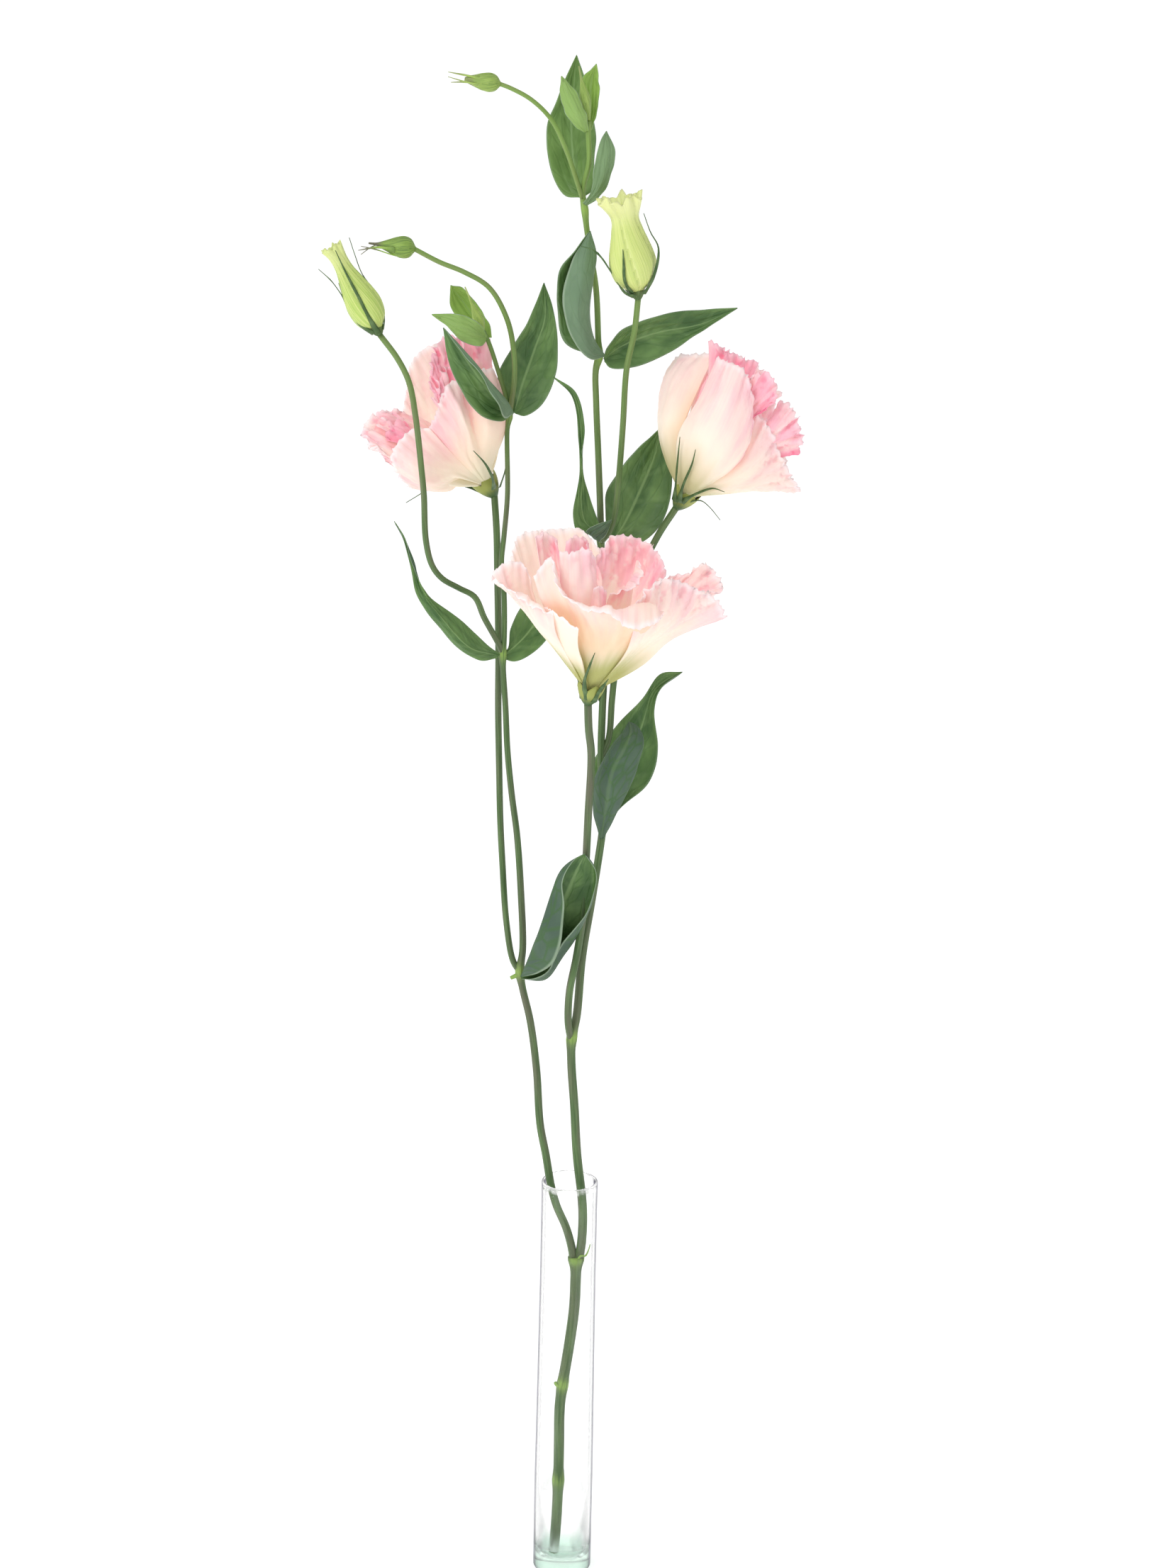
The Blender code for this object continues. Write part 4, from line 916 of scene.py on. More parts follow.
def blade_solid(blade, heart):
    """A narrow sepal with a keel, its flat side to the petals round the heart."""
    line = even_line(blade.route, BLADE_ROWS)
    along = unit(np.gradient(line, axis=0))
    out = line - heart
    out = unit(out - along * (out * along).sum(axis=1, keepdims=True))
    side = np.cross(along, out)
    share = np.linspace(0, 1, BLADE_ROWS)
    widths = [blade.half_foot, 1.15 * blade.half_middle, blade.half_middle, BLADE_TIP]
    half = np.interp(share, [0, 0.25, 0.6, 1], widths)
    vertices = [line[i] + half[i] * x * side[i] + (0.4 + 0.6 * half[i]) * y * out[i]
                for i in range(BLADE_ROWS) for x, y in BLADE_SECTION]
    faces = tube_faces(BLADE_ROWS, len(BLADE_SECTION))
    return np.array(vertices), faces, np.repeat(share, len(BLADE_SECTION))


def make_calyx(calyx, finish):
    """A ribbed cup and the long narrow sepals drawn out of it."""
    scale, olive = (BUD_CUP, BUD_CUP_OLIVE) if "bud" in calyx.name else (1.0, 1.0)
    foot = np.array(calyx.foot)
    right, back, up = own_frame(calyx.axis)
    turns = around(CUP_SIDES)
    outline = even_line([(scale * radius, scale * height, 0) for radius, height in CUP], CUP_RINGS)
    rings = []
    for radius, height, _ in outline:
        ribbed = radius * (1 + CUP_RIB * np.cos(CUP_LOBES * turns))
        lobed = height * (1 + CUP_LOBE * np.cos(CUP_LOBES * turns) * (height / outline[-1, 1]) ** 3)
        rings.append(foot + lobed[:, None] * up + ribbed[:, None] * circle(turns, right, back))
    parts = Parts()
    parts.add(np.concatenate(rings), tube_faces(CUP_RINGS, CUP_SIDES), cup=olive,
              height=np.repeat(outline[:, 1], CUP_SIDES), turn=np.tile(turns, CUP_RINGS))
    for sepal in calyx.sepals:
        vertices, faces, share = blade_solid(sepal, foot + CUP_HEART * up)
        parts.add(vertices, faces, height=SEPAL_GRAIN * share, cup=0.0, turn=0.3)
    parts.make(calyx.name, finish)


OPEN_BUD = (44, 70, 0.1)  # rings, sides, and how far its petals' edges stand out
CLOSED_BUD = (30, 40, 0.12)
BUD_PETALS = 5
BUD_TWIST = 0.9  # radians from its foot to its mouth
BUD_LAP = 0.12  # share of a petal over which its edge rises out of the one that it laps
BUD_MOUTH = 0.8  # how far up its petals begin to part
BUD_INSIDE = 0.82  # size of the mouth's inner side beside the outer
AWN_COLOUR = 0.4  # how far up the bud's colours an awn begins


def bud_surface(bud, rows, sides, depth):
    """A closed corolla: a turned body whose petals wind round it and part at its mouth."""
    right, back, up = own_frame(bud.axis)
    line = even_line([(radius, height, 0) for radius, height in bud.outline], rows)
    share = np.linspace(0, 1, rows)[:, None]
    turns = around(sides)[None, :]
    lap = (BUD_PETALS * (turns + BUD_TWIST * share) / (2 * math.pi)) % 1
    edge = np.minimum(lap / BUD_LAP, 1) * (1 - 0.75 * lap)
    radius = line[:, :1] * (1 + depth * edge * np.clip(3 * share, 0, 1))
    ripple = bud.flare * np.clip((share - BUD_MOUTH) / (1 - BUD_MOUTH), 0, 1) ** 2
    radius = radius + ripple * (0.8 * np.sin(9 * turns) - 1.4 * np.cos(turns) + 0.8 * np.sin(3 * turns + 2))
    points = 1 - abs((2.5 * turns / math.pi + 0.3) % 1 - 0.5) * 4
    height = line[:, 1:2] + ripple * (1.6 * points + 0.9 * np.sin(13 * turns))
    place = np.array(bud.foot) + height[..., None] * up + radius[..., None] * circle(turns, right, back)
    return place, np.broadcast_to(share, lap.shape), lap


def make_bud(bud, finish):
    """A bud's wound petals, with a frilled mouth that goes in again inside."""
    rows, sides, depth = OPEN_BUD if bud.flare else CLOSED_BUD
    place, share, lap = bud_surface(bud, rows, sides, depth)
    centre = place.mean(axis=1, keepdims=True)
    way = np.r_[0:rows, rows - 1:rows - 1 - rows // 4:-1]  # up the outside, then down inside the mouth
    size = np.where(np.arange(len(way)) < rows, 1.0, BUD_INSIDE)[:, None, None]
    place = centre[way] + (place - centre)[way] * size
    parts = Parts()
    parts.add(place.reshape(-1, 3), tube_faces(len(way), sides), up=share[way].ravel(), lap=lap[way].ravel(),
              ripe=bud.ripe)
    for awn in bud.awns:
        vertices, faces, along = blade_solid(awn, np.array(bud.foot))
        parts.add(vertices, faces, up=AWN_COLOUR + (1 - AWN_COLOUR) * along, lap=0.9, ripe=bud.ripe)
    parts.make(bud.name, finish)


# ---- vase and water ----------------------------------------------------------------------

GLASS_SIDES = 96
HOLLOW = 0.7  # mm deep, under the base
FOOT_ROUND = 1.6  # mm, radius of the edge that the vase stands on
CORNER = 5  # mm, radius of the corner between wall and base inside
TAPER = 0.6  # mm that the rim's radius is less than the foot's
TAPER_START, TAPER_MIDDLE, TAPER_END = 40, 70, 120  # mm up
LIP, LIP_HEIGHT = 0.05, 6  # mm that the rim swells, and how far below the top it begins to
FILM = 0.06  # mm that the water reaches into the glass, so that no gap shows


def turned_piece(name, outline, finish, replaces):
    """A solid of revolution about the vase's axis, from an outline of (radius, height)."""
    turns = around(GLASS_SIDES)
    vertices = [(r * math.cos(t), r * math.sin(t), z) for r, z in outline for t in turns]
    add_piece(name, vertices, tube_faces(len(outline), GLASS_SIDES), finish, replaces, {})


def arc(centre_r, centre_z, radius, start, end, steps=8):
    """Points on a round edge; the angles are in degrees from outward."""
    return [(centre_r + radius * math.cos(math.radians(a)), centre_z + radius * math.sin(math.radians(a)))
            for a in np.linspace(start, end, steps)]


def make_vase(sizes, finish):
    """A drawn glass tube: a thick base with a hollow under it, thin walls and a fire-polished rim."""
    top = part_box("vase")[1]
    height, base = top.z / MM, top.x / MM
    rim = base - TAPER
    wall, floor = sizes.glass_wall / MM, sizes.glass_floor / MM
    under = [(3, HOLLOW), (base - 3.5, 0.45)] + arc(base - FOOT_ROUND, FOOT_ROUND, FOOT_ROUND, -100, 0)
    outside = [(base, TAPER_START), (base - 0.25, TAPER_MIDDLE), (rim, TAPER_END)]
    outside += [(rim, height - LIP_HEIGHT), (rim + LIP, height - LIP_HEIGHT / 3)]
    top_edge = arc(rim - wall / 2, height - wall / 2, wall / 2, 0, 180)
    inside = [(rim - wall, height - LIP_HEIGHT), (rim - wall, TAPER_END), (base - wall, TAPER_START)]
    inside += [(base - wall, floor + CORNER)] + arc(base - wall - CORNER, floor + CORNER, CORNER, 0, -90)
    inside += [(2, floor - 0.2)]
    turned_piece("vase_glass", under + outside + top_edge + inside, finish, "vase")


def make_water(sizes, finish):
    """The water, drawn up a little against the glass."""
    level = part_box("water")[1].z / MM
    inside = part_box("vase")[1].x / MM - sizes.glass_wall / MM + FILM
    floor = sizes.glass_floor / MM
    outline = [(1, floor - 0.05)] + arc(inside - CORNER, floor + CORNER, CORNER, -90, 0)
    outline += [(inside, level + 0.6), (inside - 0.35, level + 0.2), (inside - 1.2, level), (1, level)]
    turned_piece("water_body", outline, finish, "water")


# ---- finishes ----------------------------------------------------------------------------

class Shade:
    """A socket that carries a number. Arithmetic on it adds the Math nodes that work it out."""

    def __init__(self, finish, socket):
        self.finish, self.socket = finish, socket

    def _math(self, operation, first, second, clamp=False):
        return self.finish.node("ShaderNodeMath", {"operation": operation, "use_clamp": clamp},
                                {0: first, 1: second})

    def __add__(self, other):
        return self._math("ADD", self, other)

    def __sub__(self, other):
        return self._math("SUBTRACT", self, other)

    def __rsub__(self, other):
        return self._math("SUBTRACT", other, self)

    def __mul__(self, other):
        return self._math("MULTIPLY", self, other)

    __radd__ = __add__
    __rmul__ = __mul__

    def clamped(self):
        """The same number, kept between 0 and 1."""
        return self._math("ADD", self, 0.0, clamp=True)


class Finish:
    """A material and its nodes."""

    def __init__(self, name, **constants):
        self.material = bpy.data.materials.new(name)
        self.material.use_nodes = True
        self.tree = self.material.node_tree
        self.shader = self.tree.nodes["Principled BSDF"]
        for socket, value in constants.items():
            self.shader.inputs[socket.replace("_", " ")].default_value = value

    def node(self, kind, settings=None, values=None, output=0):
        """A node of any kind: its settings are set first, then its sockets' values or links."""
        made = self.tree.nodes.new(kind)
        for setting, value in (settings or {}).items():
            setattr(made, setting, value)
        for socket, value in (values or {}).items():
            if isinstance(value, Shade):
                self.tree.links.new(value.socket, made.inputs[socket])
            else:
                made.inputs[socket].default_value = value
        return Shade(self, made.outputs[output])

    def mark(self, name):
        """The number that a piece carries under this name."""
        return self.node("ShaderNodeAttribute", {"attribute_name": name}, output="Fac")

    def mix(self, share, first, second):
        """A colour between two, by share. Each is a Shade, or its red, green and blue."""
        first, second = (c if isinstance(c, Shade) else (*c, 1.0) for c in (first, second))
        return self.node("ShaderNodeMix", {"data_type": "RGBA"}, {0: share, 6: first, 7: second}, 2)

    def ramp(self, value, low, high):
        """value brought to 0 at low and 1 at high, smoothly."""
        return self.node("ShaderNodeMapRange", {"interpolation_type": "SMOOTHSTEP"},
                         {"Value": value, "From Min": low, "From Max": high})

    def place(self, x, y, z=0.0):
        """A place to look a texture up at."""
        return self.node("ShaderNodeCombineXYZ", values={0: x, 1: y, 2: z})

    def body_place(self):
        """Where the surface is, in metres in the part's own frame."""
        return self.node("ShaderNodeTexCoord", output="Object")

    def level(self):
        """How high the surface is, in metres."""
        return self.node("ShaderNodeSeparateXYZ", values={"Vector": self.body_place()}, output="Z")

    def grazing(self):
        """How slantingly the surface is looked at: 0 straight on, 1 along it."""
        return self.node("ShaderNodeLayerWeight", values={"Blend": 0.5}, output="Facing")

    def noise(self, place, scale, detail):
        """A cloudy number between 0 and 1 that changes from place to place."""
        return self.node("ShaderNodeTexNoise", values={"Vector": place, "Scale": scale, "Detail": detail},
                         output="Fac")

    def bump(self, height, strength, distance):
        """The normal of a surface that stands out by height, distance in metres at most."""
        return self.node("ShaderNodeBump",
                         values={"Height": height, "Strength": strength, "Distance": distance})

    def feed(self, socket, shade):
        """Lets a number or colour change over the surface behind one of the shader's sockets."""
        self.tree.links.new(shade.socket, self.shader.inputs[socket])


def petal_finish(colours):
    """Silky petals: cream with a green foot, peach in the middle, pink to the rim, with painted shade in the
    folds and a painted glow in their own colour.
    """
    f = Finish("petal_silk", Roughness=0.55, Specular_IOR_Level=0.3, Emission_Strength=0.13,
               Subsurface_Weight=0.25, Subsurface_Radius=(0.0035, 0.0026, 0.0022), Subsurface_Scale=0.35)
    up, across, fold, blush, warmth = (f.mark(m) for m in ("up", "across", "fold", "blush", "warmth"))
    veins = f.noise(f.place(across * 1.4, up * 1.2), 1.0, 3.0)
    streaks = f.ramp(veins, 0.35, 0.7)
    cloud = f.noise(f.place(across * 0.13, up * 1.8), 1.0, 2.0)
    blotch = f.ramp(f.noise(f.place(across * 0.15, up * 2.8, 7.0), 1.0, 2.0), 0.32, 0.68)
    foot = (1 - f.ramp(up + cloud * 0.2, 0.28, 0.64)) * f.mark("green")
    skin = f.mix(foot, colours.petal_cream, colours.petal_foot)
    # Peach: the petals' own warm middle, and painted shade along a last edge that lies in a gap.
    peach = warmth * f.ramp(up, 0.2, 0.5) * (1 - f.ramp(up, 0.6, 1.0) * 0.8) * (0.5 + cloud)
    skin = f.mix(peach.clamped(), skin, colours.petal_peach)
    pinkness = (blush * f.ramp(up + cloud * 0.5, 0.66, 1.25) * (0.55 + blotch * 0.5 + streaks * 0.1)
                + (blotch * 0.12 + streaks * 0.05) * blush * f.ramp(up, 0.3, 0.7))
    skin = f.mix(pinkness.clamped(), skin, colours.petal_pink)
    # Painted shade: orange deep in the cream folds, where the petals shade themselves.
    warm_fold_shade = (f.ramp(fold, 0.1, 0.9) * (1 - blush).clamped() * f.ramp(warmth, 0.2, 0.6)
                 * f.ramp(up, 0.15, 0.5) * 0.7)
    skin = f.mix(warm_fold_shade.clamped(), skin, colours.petal_fold_shade)
    # Deep pink: the petals' own colour where blush passes 1, and painted shade inside the folds of the pink
    # petals.
    deep_pink_and_fold_shade = f.ramp(fold, 0.15, 1.0) * blush * f.ramp(up, 0.35, 0.85) * 0.5 + (blush - 1.0).clamped()
    skin = f.mix(deep_pink_and_fold_shade.clamped(), skin, colours.petal_deep_pink_and_fold_shade)
    # A pale band at the very rim: partly the petals' paler margin, partly a painted highlight on the thin
    # rim.
    rim = f.ramp(up, 0.95, 0.995) * (0.75 - blush * 0.5)
    skin = f.mix(rim.clamped(), skin, colours.petal_edge)
    f.feed("Base Color", skin)
    # The petals glow in their own colour: painted light that stands in for light coming through them.
    f.feed("Emission Color", skin)
    f.feed("Normal", f.bump(veins + cloud * 0.5, 0.2, 0.0003))
    return f.material


HIGH_LEAVES = (0.38, 0.47)  # m up, where the undersides begin to be bloomy and where they are in full


def leaf_finish(colours):
    """A leaf: mid green above with a light midrib, a bloomy blue green below with a net of veins."""
    f = Finish("leaf_blade", Roughness=0.46, Specular_IOR_Level=0.35, Subsurface_Weight=0.05,
               Subsurface_Radius=(0.001, 0.002, 0.0004), Subsurface_Scale=0.3)
    up, across, edge, under, fresh = (f.mark(m) for m in ("up", "across", "edge", "under", "fresh"))
    net_place = f.place(across * 0.24, up * 0.13 - edge * 2.0)
    cells = f.node("ShaderNodeTexVoronoi", {"feature": "DISTANCE_TO_EDGE"},
                   {"Vector": net_place, "Scale": 1.0}, output="Distance")
    net_lines = 1 - f.ramp(cells, 0.0, 0.13)
    midrib = (1 - f.ramp(edge, 0.015, 0.07)) * (0.55 - under * 0.4)
    side_veins = f.node("ShaderNodeTexWave", {"wave_type": "BANDS", "bands_direction": "Y"},
                        {"Vector": f.place(across * 0.02, up * 0.028 - edge * 0.22), "Scale": 1.0,
                         "Distortion": 1.2}, output="Fac")
    mottle = f.noise(f.place(across * 0.13, up * 0.07), 1.0, 3.0)
    above = f.mix(f.ramp(mottle, 0.3, 0.75), colours.leaf_upper, colours.leaf_light)
    above = f.mix(f.ramp(side_veins, 0.85, 1.0) * 0.12, above, colours.leaf_vein)
    above = f.mix(net_lines * 0.3, above, colours.leaf_upper)
    above = f.mix(f.ramp(edge, 0.3, 1.0) * 0.3, above, colours.leaf_light)
    above = f.mix(fresh * 0.75, above, colours.young_green)
    high_up = f.ramp(f.level(), *HIGH_LEAVES)
    bloomed = f.ramp(mottle, 0.3, 0.9) * 0.35 + high_up * 0.7
    below = f.mix(bloomed.clamped(), colours.leaf_under, colours.leaf_bloom)
    below = f.mix(net_lines * (0.7 - high_up * 0.6), below, colours.leaf_upper)
    below = f.mix(fresh * 0.6, below, colours.young_green)
    blade = f.mix(under, above, below)
    blade = f.mix(midrib, blade, colours.leaf_vein)
    blade = f.mix(f.ramp(edge, 0.93, 0.98) * (0.3 + under * 0.6), blade, colours.leaf_edge)
    f.feed("Base Color", blade)
    f.feed("Roughness", (0.42 + under * 0.16 + mottle * 0.1).clamped())
    f.feed("Normal", f.bump(net_lines * -0.6 + side_veins * 0.3 + mottle * 0.4, 0.4, 0.0004))
    return f.material


YOUNG_STEMS = (0.38, 0.55)  # m up, where stems begin to turn lime green and where they have done


def stem_finish(colours):
    """A stem: grey green, with brown purple streaks along its ridges and yellow scars."""
    f = Finish("stem_skin", Roughness=0.5, Specular_IOR_Level=0.35, Subsurface_Weight=0.06,
               Subsurface_Radius=(0.001, 0.0016, 0.0005), Subsurface_Scale=0.3)
    height, scar, purple, turn = (f.mark(m) for m in ("height", "scar", "purple", "turn"))
    grain = f.noise(f.place(turn * 14.0, height * 0.07), 1.0, 3.0)
    patches = f.noise(f.place(turn * 2.0, height * 0.03), 1.0, 2.0)
    green = f.mix(f.ramp(grain, 0.3, 0.75), colours.stem_green, colours.stem_light)
    browned = purple * f.ramp(patches, 0.4, 0.7) * (0.5 + grain)
    green = f.mix(browned.clamped(), green, colours.stem_purple)
    green = f.mix(f.ramp(f.level(), *YOUNG_STEMS) * 0.45, green, colours.young_green)
    ragged = scar * f.ramp(grain + patches * 0.5, 0.5, 0.85)
    f.feed("Base Color", f.mix(ragged * 0.8, green, colours.young_green))
    f.feed("Normal", f.bump(grain + patches, 0.4, 0.0002))
    return f.material


def calyx_finish(colours):
    """A calyx: a cup that goes from green to olive, and dark green sepals."""
    f = Finish("calyx_skin", Roughness=0.5, Specular_IOR_Level=0.35)
    height, cup, turn = (f.mark(m) for m in ("height", "cup", "turn"))
    grain = f.noise(f.place(turn * 3.0, height * 0.25), 1.0, 2.0)
    olive = f.mix(f.ramp(height + grain * 2.0, 1.0, 5.5), colours.stem_green, colours.calyx_olive)
    sepal = f.mix(f.ramp(grain, 0.35, 0.7), colours.stem_green, colours.stem_light)
    f.feed("Base Color", f.mix(cup, sepal, olive))
    f.feed("Normal", f.bump(grain, 0.4, 0.0002))
    return f.material


def bud_finish(colours):
    """A closed bud: green, lime or pale yellow as it ripens, its petals' edges winding round it."""
    f = Finish("bud_silk", Roughness=0.42, Subsurface_Weight=0.15, Subsurface_Radius=(0.003, 0.003, 0.001),
               Subsurface_Scale=0.3)
    up, lap, ripe = (f.mark(m) for m in ("up", "lap", "ripe"))
    veins = f.ramp(f.noise(f.place(lap * 16.0, up * 2.0), 1.0, 3.0), 0.3, 0.75)
    young = f.mix(veins, colours.bud_dark_green_and_lap_shade, colours.bud_lime)
    grown = f.mix(veins, colours.bud_lime, colours.bud_pale)
    green = f.mix(f.ramp(ripe, 0.0, 0.6), young, grown)
    green = f.mix(f.ramp(ripe, 0.5, 1.0) * 0.6, green, colours.bud_pale)
    green = f.mix((1 - f.ramp(lap, 0.03, 0.2)) * ripe * 0.4, green, colours.bud_mouth)
    # Painted shade on the strip of each petal that lies under the next one's edge.
    green = f.mix(f.ramp(lap, 0.85, 1.0) * 0.3, green, colours.bud_dark_green_and_lap_shade)
    green = f.mix(f.ramp(up, 0.65, 0.95) * ripe, green, colours.bud_mouth)
    browned = f.ramp(up, 0.66, 0.86) * 0.85 * (1 - f.ramp(ripe, 0.05, 0.3))
    f.feed("Base Color", f.mix(browned, green, colours.stem_purple))
    f.feed("Normal", f.bump(veins, 0.4, 0.0003))
    return f.material


WHITE, BLACK = (1, 1, 1), (0, 0, 0)
THICK_GLASS = (0.004, 0.011)  # m up, where the thick base begins to thin and where the wall is thin
RIM_START, RIM_FULL = 0.0028, 0.0012  # m below the top, where the rim begins to show and shows in full
GLASS_EDGE_REFLECTION = (0.02, 0.02, 0.04)  # painted dark reflection along the glass's outline
GLASS_GLOW = (0.72, 0.90, 0.80)  # painted glow, for the light gathered in the thick base


def glass_finish(tint):
    """Clear glass: its walls show where they are looked along, darkened there by a painted reflection; its
    thick base shows in full, a little green, with a painted glow.
    """
    f = Finish("tube_glass", Roughness=0.0, IOR=1.4, Transmission_Weight=0.85, Emission_Strength=0.3)
    grazing, height = f.grazing(), f.level()
    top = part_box("vase")[1].z
    thick = 1 - f.ramp(height, *THICK_GLASS)
    rim = f.ramp(height, top - RIM_START, top - RIM_FULL)
    clear = f.mix(thick * 0.7, WHITE, tint)
    # Painted reflection: the walls turn dark where they are looked along.
    f.feed("Base Color", f.mix(f.ramp(grazing, 0.5, 0.75), clear, GLASS_EDGE_REFLECTION))
    # Painted glow: the thick base glows green where it is looked at straight on.
    f.feed("Emission Color", f.mix(thick * (1 - f.ramp(grazing, 0.25, 0.6)), BLACK, GLASS_GLOW))
    # The walls grow opaque where they are looked along, so that the painted dark reflection shows.
    f.feed("Alpha", (0.03 + thick + rim * 0.7 + f.ramp(grazing, 0.5, 0.82) * 0.85).clamped())
    return f.material


def water_finish():
    """Still water: all but unseen, with a soft shine where it is looked at from the side."""
    f = Finish("still_water", Base_Color=(0.8, 0.9, 0.85, 1), Roughness=0.0, IOR=1.33)
    f.feed("Alpha", 0.02 + f.ramp(f.grazing(), 0.6, 1.0) * 0.2)
    return f.material


# ---- sizes and colours -------------------------------------------------------------------

def length_property(name, description, default):
    """A thickness or height in metres."""
    return FloatProperty(name=name, description=description, default=default, min=0.0, unit="LENGTH")


def colour_property(name, description, default):
    """A colour as red, green and blue."""
    return FloatVectorProperty(name=name, description=description, default=default, size=3, min=0.0, max=1.0,
                               subtype="COLOR")


class LISIANTHUS_PG_sizes(bpy.types.PropertyGroup):
    """Thicknesses of the pieces, and how far the petals wave"""
    petal_foot: length_property("Petal foot", "Thickness of a petal at its foot", 0.0005)
    petal_rim: length_property("Petal rim", "Thickness of a petal at its rim", 0.00016)
    ruffle_height: length_property("Ruffle", "How far the rims of the petals wave", 0.0012)
    leaf_thickness: length_property("Leaf", "Thickness of a leaf blade", 0.00042)
    glass_wall: length_property("Glass wall", "Thickness of the vase's wall", 0.0012)
    glass_floor: length_property("Glass floor", "Thickness of the vase's base", 0.0054)


class LISIANTHUS_PG_colours(bpy.types.PropertyGroup):
    """Colours of the petals, leaves, stems, buds and glass"""
    petal_foot: colour_property("Petal foot", "Greenish yellow at a petal's foot", (0.36, 0.37, 0.08))
    petal_cream: colour_property("Petal cream", "Ground colour of the petals", (0.94, 0.84, 0.72))
    petal_peach: colour_property("Petal peach", "Warm middle of the petals", (0.83, 0.59, 0.37))
    # Painted shade: the orange that the cream folds are darkened to.
    petal_fold_shade: colour_property("Petal folds", "Orange shade deep in the cream folds", (0.90, 0.56, 0.36))
    petal_pink: colour_property("Petal pink", "Pink of the petals' upper half", (0.89, 0.45, 0.53))
    # Deep pink of the pinkest petals, also painted as shade inside the folds.
    petal_deep_pink_and_fold_shade: colour_property("Petal fold", "Deep pink inside the folds", (0.82, 0.20, 0.32))
    # Pale edge: partly the petals' own margin, partly a painted highlight along the rim.
    petal_edge: colour_property("Petal edge", "Pale edge of the petals", (0.97, 0.89, 0.91))
    leaf_upper: colour_property("Leaf", "Upper face of a leaf", (0.050, 0.125, 0.034))
    leaf_light: colour_property("Leaf light", "Lighter patches of the upper face", (0.155, 0.280, 0.085))
    leaf_under: colour_property("Leaf underside", "Blue green of the underside", (0.057, 0.105, 0.070))
    leaf_bloom: colour_property("Leaf bloom", "Pale bloom on the underside", (0.180, 0.285, 0.165))
    leaf_vein: colour_property("Leaf vein", "Midrib, veins and margins", (0.27, 0.42, 0.17))
    leaf_edge: colour_property("Leaf edge", "Pale line along the margins", (0.30, 0.40, 0.28))
    young_green: colour_property("Young green", "Lime of young leaves and scars", (0.34, 0.54, 0.10))
    stem_green: colour_property("Stem", "Ground colour of the stems", (0.055, 0.115, 0.034))
    stem_light: colour_property("Stem light", "Lighter streaks of the stems", (0.130, 0.215, 0.080))
    stem_purple: colour_property("Stem purple", "Brown purple of the sunny side", (0.15, 0.115, 0.10))
    calyx_olive: colour_property("Cup", "Yellow olive of a flower's cup", (0.34, 0.38, 0.09))
    bud_lime: colour_property("Bud", "Lime of the closed buds", (0.36, 0.55, 0.09))
    bud_mouth: colour_property("Bud mouth", "Pale yellow of the petals at a bud's mouth", (0.80, 0.84, 0.38))
    bud_pale: colour_property("Bud pale", "Pale streaks of the closed buds", (0.70, 0.77, 0.27))
    # Dark green of a young bud, also painted as shade under each wound petal's edge.
    bud_dark_green_and_lap_shade: colour_property("Bud shade", "Shade under a wound petal's edge", (0.10, 0.19, 0.035))
    glass_tint: colour_property("Glass tint", "Green of the glass seen edge on", (0.38, 0.62, 0.48))


class LISIANTHUS_PG_stage(bpy.types.PropertyGroup):
    """Colour of the floor and strength of the lights"""
    floor: colour_property("Floor", "Colour of the floor", (0.92, 0.92, 0.92))
    sky: FloatProperty(name="Sky", description="Strength of the light from all round", default=0.72, min=0.0)
    key: FloatProperty(name="Key lamp", description="Strength of the large soft lamp", default=11.0, min=0.0,
                       unit="POWER")


# ---- operators ---------------------------------------------------------------------------

def chosen_sizes(context):
    """The sizes set in the panel."""
    return context.scene.lisianthus_sizes


def chosen_colours(context):
    """The colours set in the panel."""
    return context.scene.lisianthus_colours


SEED_STEP = 1.7  # sets the waves of a flower's petals apart


def build_flower(context, flower, first_seed):
    """All petals of one flower, in the silk that the flowers share."""
    finish = bpy.data.materials.get("petal_silk") or petal_finish(chosen_colours(context))
    for k, petal in enumerate(flower.petals):
        make_petal(flower, petal, first_seed + SEED_STEP * k, chosen_sizes(context), finish)


class LISIANTHUS_OT_stems(bpy.types.Operator):
    """Builds the main stem, both branches and every stalk"""
    bl_idname = "lisianthus.stems"
    bl_label = "Stems"

    def execute(self, context):
        finish = stem_finish(chosen_colours(context))
        for stem in STEMS:
            make_stem(stem, finish)
        return {"FINISHED"}


class LISIANTHUS_OT_leaves(bpy.types.Operator):
    """Builds every leaf"""
    bl_idname = "lisianthus.leaves"
    bl_label = "Leaves"

    def execute(self, context):
        finish = leaf_finish(chosen_colours(context))
        for k, leaf in enumerate(LEAVES):
            make_leaf(leaf, k + 1.0, chosen_sizes(context), finish)
        return {"FINISHED"}


class LISIANTHUS_OT_centre_flower(bpy.types.Operator):
    """Builds the petals of the flower in the middle"""
    bl_idname = "lisianthus.centre_flower"
    bl_label = "Centre flower"

    def execute(self, context):
        build_flower(context, CENTRE_FLOWER, 1.0)
        return {"FINISHED"}


class LISIANTHUS_OT_left_flower(bpy.types.Operator):
    """Builds the petals of the flower on the left"""
    bl_idname = "lisianthus.left_flower"
    bl_label = "Left flower"

    def execute(self, context):
        build_flower(context, LEFT_FLOWER, 31.0)
        return {"FINISHED"}


class LISIANTHUS_OT_right_flower(bpy.types.Operator):
    """Builds the petals of the flower on the right"""
    bl_idname = "lisianthus.right_flower"
    bl_label = "Right flower"

    def execute(self, context):
        build_flower(context, RIGHT_FLOWER, 61.0)
        return {"FINISHED"}


class LISIANTHUS_OT_calyxes(bpy.types.Operator):
    """Builds the green cups and sepals under the flowers and buds"""
    bl_idname = "lisianthus.calyxes"
    bl_label = "Calyxes"

    def execute(self, context):
        finish = calyx_finish(chosen_colours(context))
        for calyx in CALYXES:
            make_calyx(calyx, finish)
        return {"FINISHED"}


